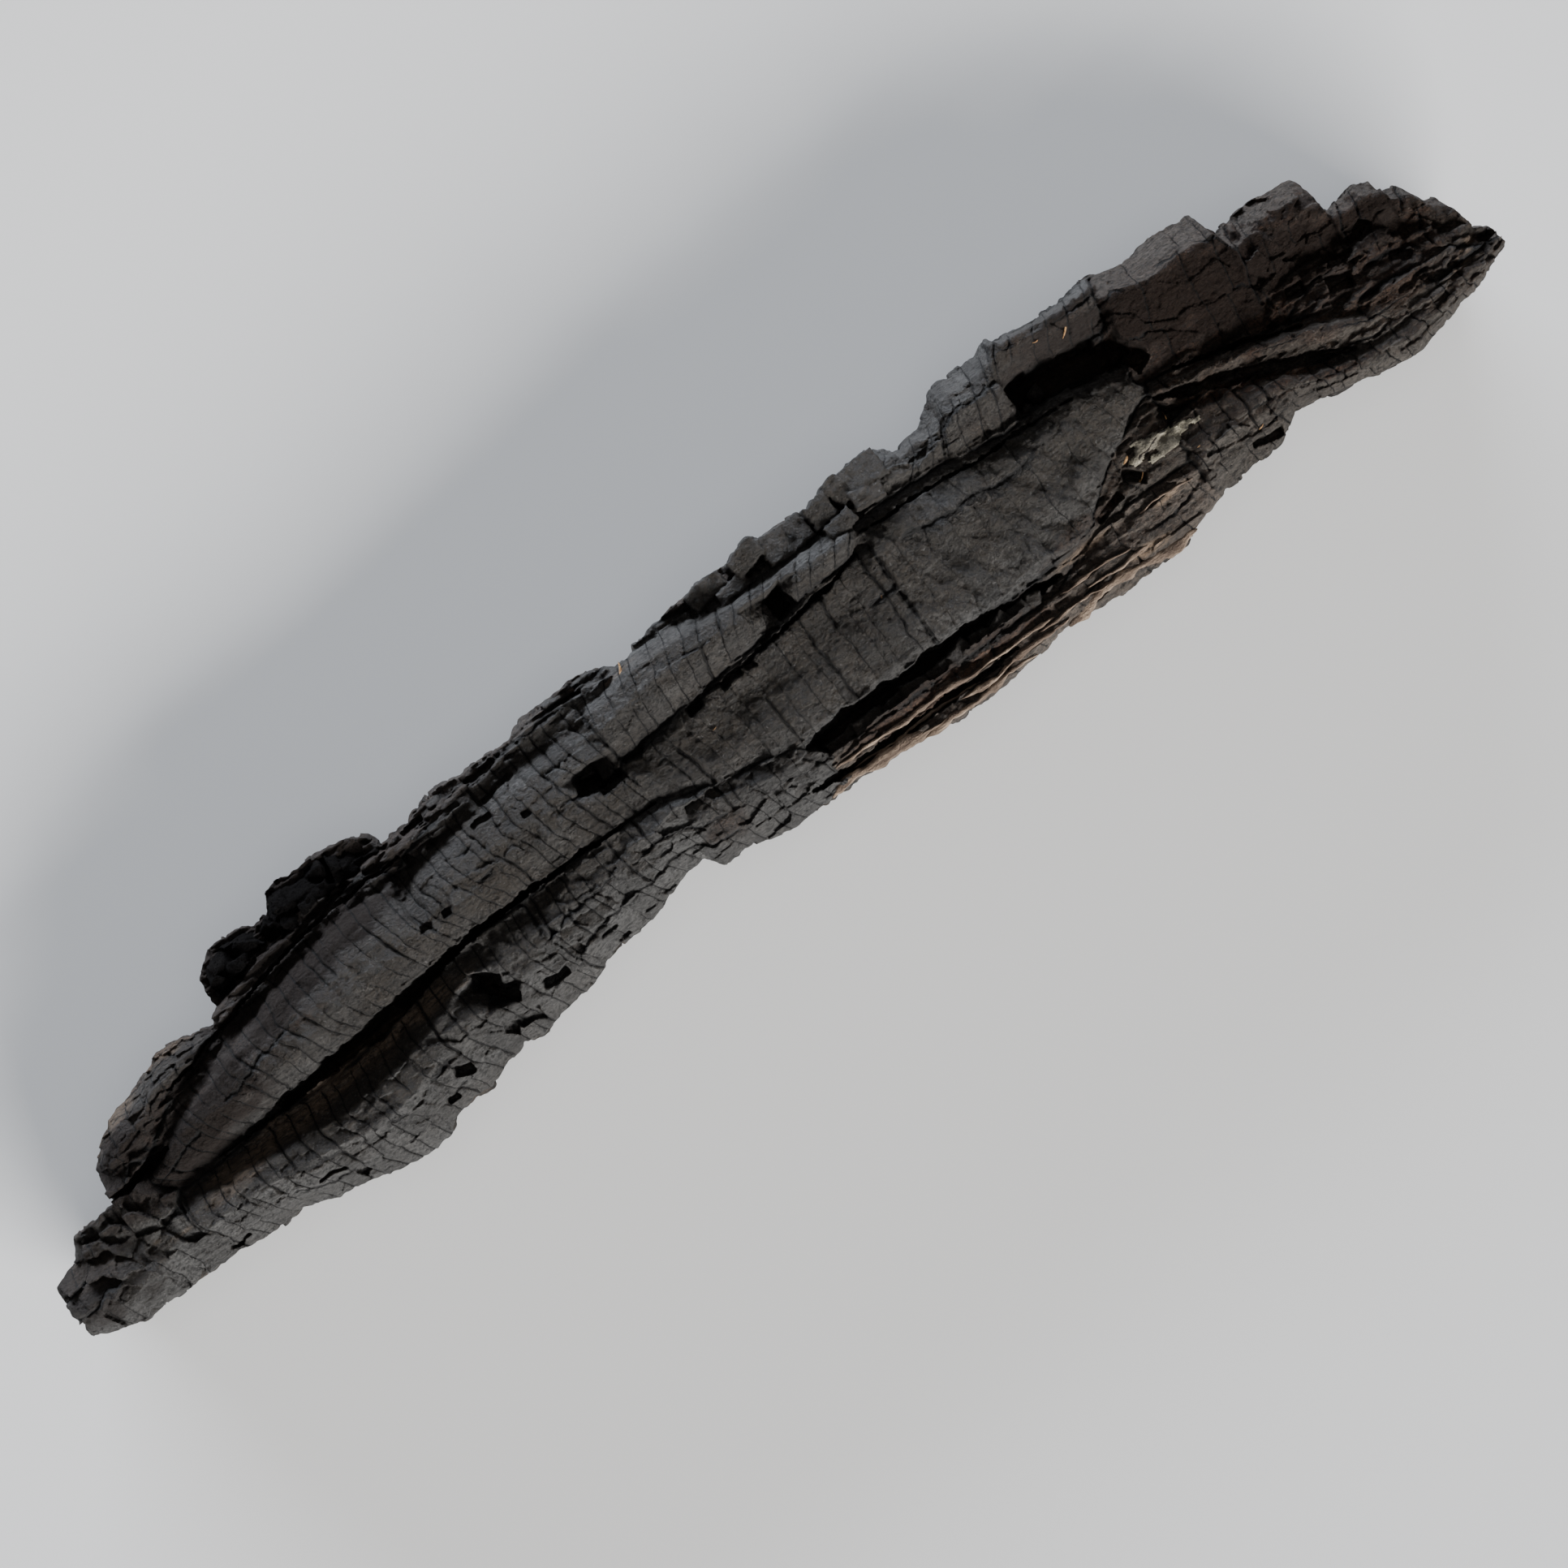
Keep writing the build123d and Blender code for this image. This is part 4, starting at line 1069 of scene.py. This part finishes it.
def ribbon(seed, half_width, lift, path, thick=1.0):
    """A tapered strand of torn wood along a path: points and faces of a closed tube."""
    path = np.array(path, np.float32)
    step = np.hypot(*np.diff(path, axis=0).T)
    reach = np.concatenate([[0], np.cumsum(step)])
    t = np.arange(0, reach[-1] + 0.01, 0.8)
    x, y = (np.interp(t, reach, path[:, k]) for k in range(2))
    y = y + 0.5 * noise(seed, t / 7) + 0.2 * noise(seed + 1, t / 2)
    taper = np.sqrt(np.clip(np.minimum(t, reach[-1] - t) / 7, 0.02, 1))
    wide = half_width * taper * (1 + 0.5 * noise(seed + 2, t / 5) + 0.25 * noise(seed + 4, t / 1.8))
    z = blurred(ground(x, y)[:, None], 11 * PITCH)[:, 0] + lift * taper + 0.25 * noise(seed + 5, t / 6)
    sides = 8
    turn = np.arange(sides) * 2 * math.pi / sides
    ring = np.stack([np.cos(turn), np.sin(turn)], axis=1)
    ragged = 1 + 0.3 * noise(seed + 3, t[:, None] / 3, turn[None, :] * 1.5)
    across_part = ring[None, :, 0] * wide[:, None] * ragged
    up_part = ring[None, :, 1] * (thick * taper)[:, None] * ragged
    points = np.stack([np.repeat(x[:, None], sides, 1), y[:, None] + across_part, z[:, None] + up_part], axis=2)
    i, k = np.meshgrid(np.arange(len(t) - 1), np.arange(sides), indexing="ij")
    after = (k + 1) % sides
    quads = np.stack([i * sides + k, (i + 1) * sides + k, (i + 1) * sides + after, i * sides + after], axis=2)
    first = np.stack([np.zeros(sides - 2, int), np.arange(1, sides - 1), np.arange(2, sides)], axis=1)
    last = first[:, ::-1] + (len(t) - 1) * sides
    return points.reshape(-1, 3), quads.reshape(-1, 4), np.concatenate([first, last])


def gathered(parts):
    """Several closed shapes as one list of points, quads and triangles."""
    points, quads, corners, count = [], [], [], 0
    for part_points, part_quads, part_corners in parts:
        points.append(part_points)
        quads.append(part_quads + count)
        corners.append(part_corners + count)
        count += len(part_points)
    return np.concatenate(points), [np.concatenate(quads), np.concatenate(corners)]


envelope_low = blurred(blurred(np.maximum(top, DECK), 0.5).T, 0.5).T
strands = [ribbon(2000 + 9 * k, *row) for k, row in enumerate(STRANDS)]
finished(mesh_object("strand_skin", *gathered(strands)), "pale_splinters", "torn_wood")

flecks = []
for k, (x, y, half_length, half_width, turn) in enumerate(FLECKS):
    dx, dy = half_length * math.cos(math.radians(turn)), half_length * math.sin(math.radians(turn))
    path = [(x - dx, y - dy), (x + 0.2 * dy, y - 0.2 * dx), (x + dx, y + dy)]
    flecks.append(ribbon(2200 + 9 * k, half_width, 0.45, path, 0.35))
finished(mesh_object("fleck_skin", *gathered(flecks)), "litter_flecks")

def crust(seed, x, y, half_length, half_width, turn, thick):
    """A thin lumpy patch draped over the surface, as points and faces of a closed shape."""
    angle = math.radians(turn)
    along = ((X - x) * math.cos(angle) + (Y - y) * math.sin(angle)) / half_length
    aside = ((Y - y) * math.cos(angle) - (X - x) * math.sin(angle)) / half_width
    cover = 1 - np.sqrt(along**2 + aside**2) + 0.45 * fractal(seed, 3, X / 5, Y / 3)
    rise = thick * np.sqrt(np.clip(cover, 0, 1)) + 0.35 * np.clip(noise(seed + 5, X / 1.3, Y / 1.3), 0, 1)
    cell = cover > 0
    cell = cell[:-1, :-1] & cell[1:, :-1] & cell[1:, 1:] & cell[:-1, 1:]
    cell = np.pad(cell, ((0, X.shape[0] - cell.shape[0]), (0, X.shape[1] - cell.shape[1])))
    i, j = np.nonzero(cell)
    across_grid = X.shape[1]
    a = i * across_grid + j
    above = np.stack([a, a + across_grid, a + across_grid + 1, a + 1], axis=1)
    below = above[:, ::-1] + X.size
    sides = []
    for step_i, step_j, one, two in ((0, -1, 0, 1), (1, 0, 1, 2), (0, 1, 2, 3), (-1, 0, 3, 0)):
        open_side = ~cell[i + step_i, j + step_j]
        start, end = above[open_side, one], above[open_side, two]
        sides.append(np.stack([start, start + X.size, end + X.size, end], axis=1))
    faces = np.concatenate([above, below, *sides])
    level = np.concatenate([(envelope_low + rise).ravel(), (envelope_low - 1).ravel()])
    points = np.stack([np.tile(X.ravel(), 2), np.tile(Y.ravel(), 2), level], axis=1)
    used, local = np.unique(faces, return_inverse=True)
    return points[used], [local.reshape(-1, 4)]


finished(mesh_object("lichen_skin", *crust(2400, 166, -5.2, 12.5, 3.9, -4, 0.7)), "lichen_crust")

# Floor, lights and camera ---------------------------------------------------------------
def plain(name, colour, roughness):
    material = bpy.data.materials.new(name)
    material.use_nodes = True
    shader = material.node_tree.nodes["Principled BSDF"]
    shader.inputs["Base Color"].default_value = (*colour, 1)
    shader.inputs["Roughness"].default_value = roughness
    return material


reach = 90000.0
floor = mesh_object("floor", np.array([(-reach, -reach, 0), (reach, -reach, 0), (reach, reach, 0), (-reach, reach, 0)]),
                    [np.array([[0, 1, 2, 3]])])
floor.data.materials.append(plain("floor", (0.62, 0.62, 0.62), 0.9))


def lamp(name, place, size, power, colour, target=(0, 0, 30)):
    """A soft rectangular lamp at a place in millimetres, aimed at the target."""
    data = bpy.data.lights.new(name, "AREA")
    data.shape = "RECTANGLE"
    data.size, data.size_y = (s * MM for s in size)
    data.energy = power
    data.color = colour
    made = bpy.data.objects.new(name, data)
    made.visible_camera = False
    made.location = Vector(place) * MM
    aim = Vector(target) * MM - made.location
    made.rotation_euler = aim.to_track_quat("-Z", "Y").to_euler()
    bpy.context.scene.collection.objects.link(made)


lamp("key", (1800, -30000, 12000), (27000, 10500), 35500, (1.0, 0.99, 0.975))
lamp("rim", (4800, 30000, 4500), (30000, 6000), 39000, (0.84, 0.90, 1.0))
lamp("overhead", (0, 0, 30000), (24000, 24000), 2000, (1, 1, 1))
world = bpy.data.worlds.new("world")
world.use_nodes = True
world.node_tree.nodes["Background"].inputs["Color"].default_value = (1, 1, 1, 1)
world.node_tree.nodes["Background"].inputs["Strength"].default_value = 0.17
bpy.context.scene.world = world

ROLL = math.radians(36)  # the stick rises to the right by this much
LENS, SENSOR = 85.0, 36.0
VIEW_WIDTH = 520.3  # of the frame, at the height of the ridges
right = Vector((math.cos(ROLL), -math.sin(ROLL), 0))
up = Vector((math.sin(ROLL), math.cos(ROLL), 0))
camera_data = bpy.data.cameras.new("camera")
camera_data.lens, camera_data.sensor_width = LENS, SENSOR
camera = bpy.data.objects.new("camera", camera_data)
bpy.context.scene.collection.objects.link(camera)
camera.matrix_world = Matrix((
    (right.x, up.x, 0, -2.4 * MM),
    (right.y, up.y, 0, -23.6 * MM),
    (0, 0, 1, (45 + VIEW_WIDTH * LENS / SENSOR) * MM),
    (0, 0, 0, 1),
))
bpy.context.scene.camera = camera
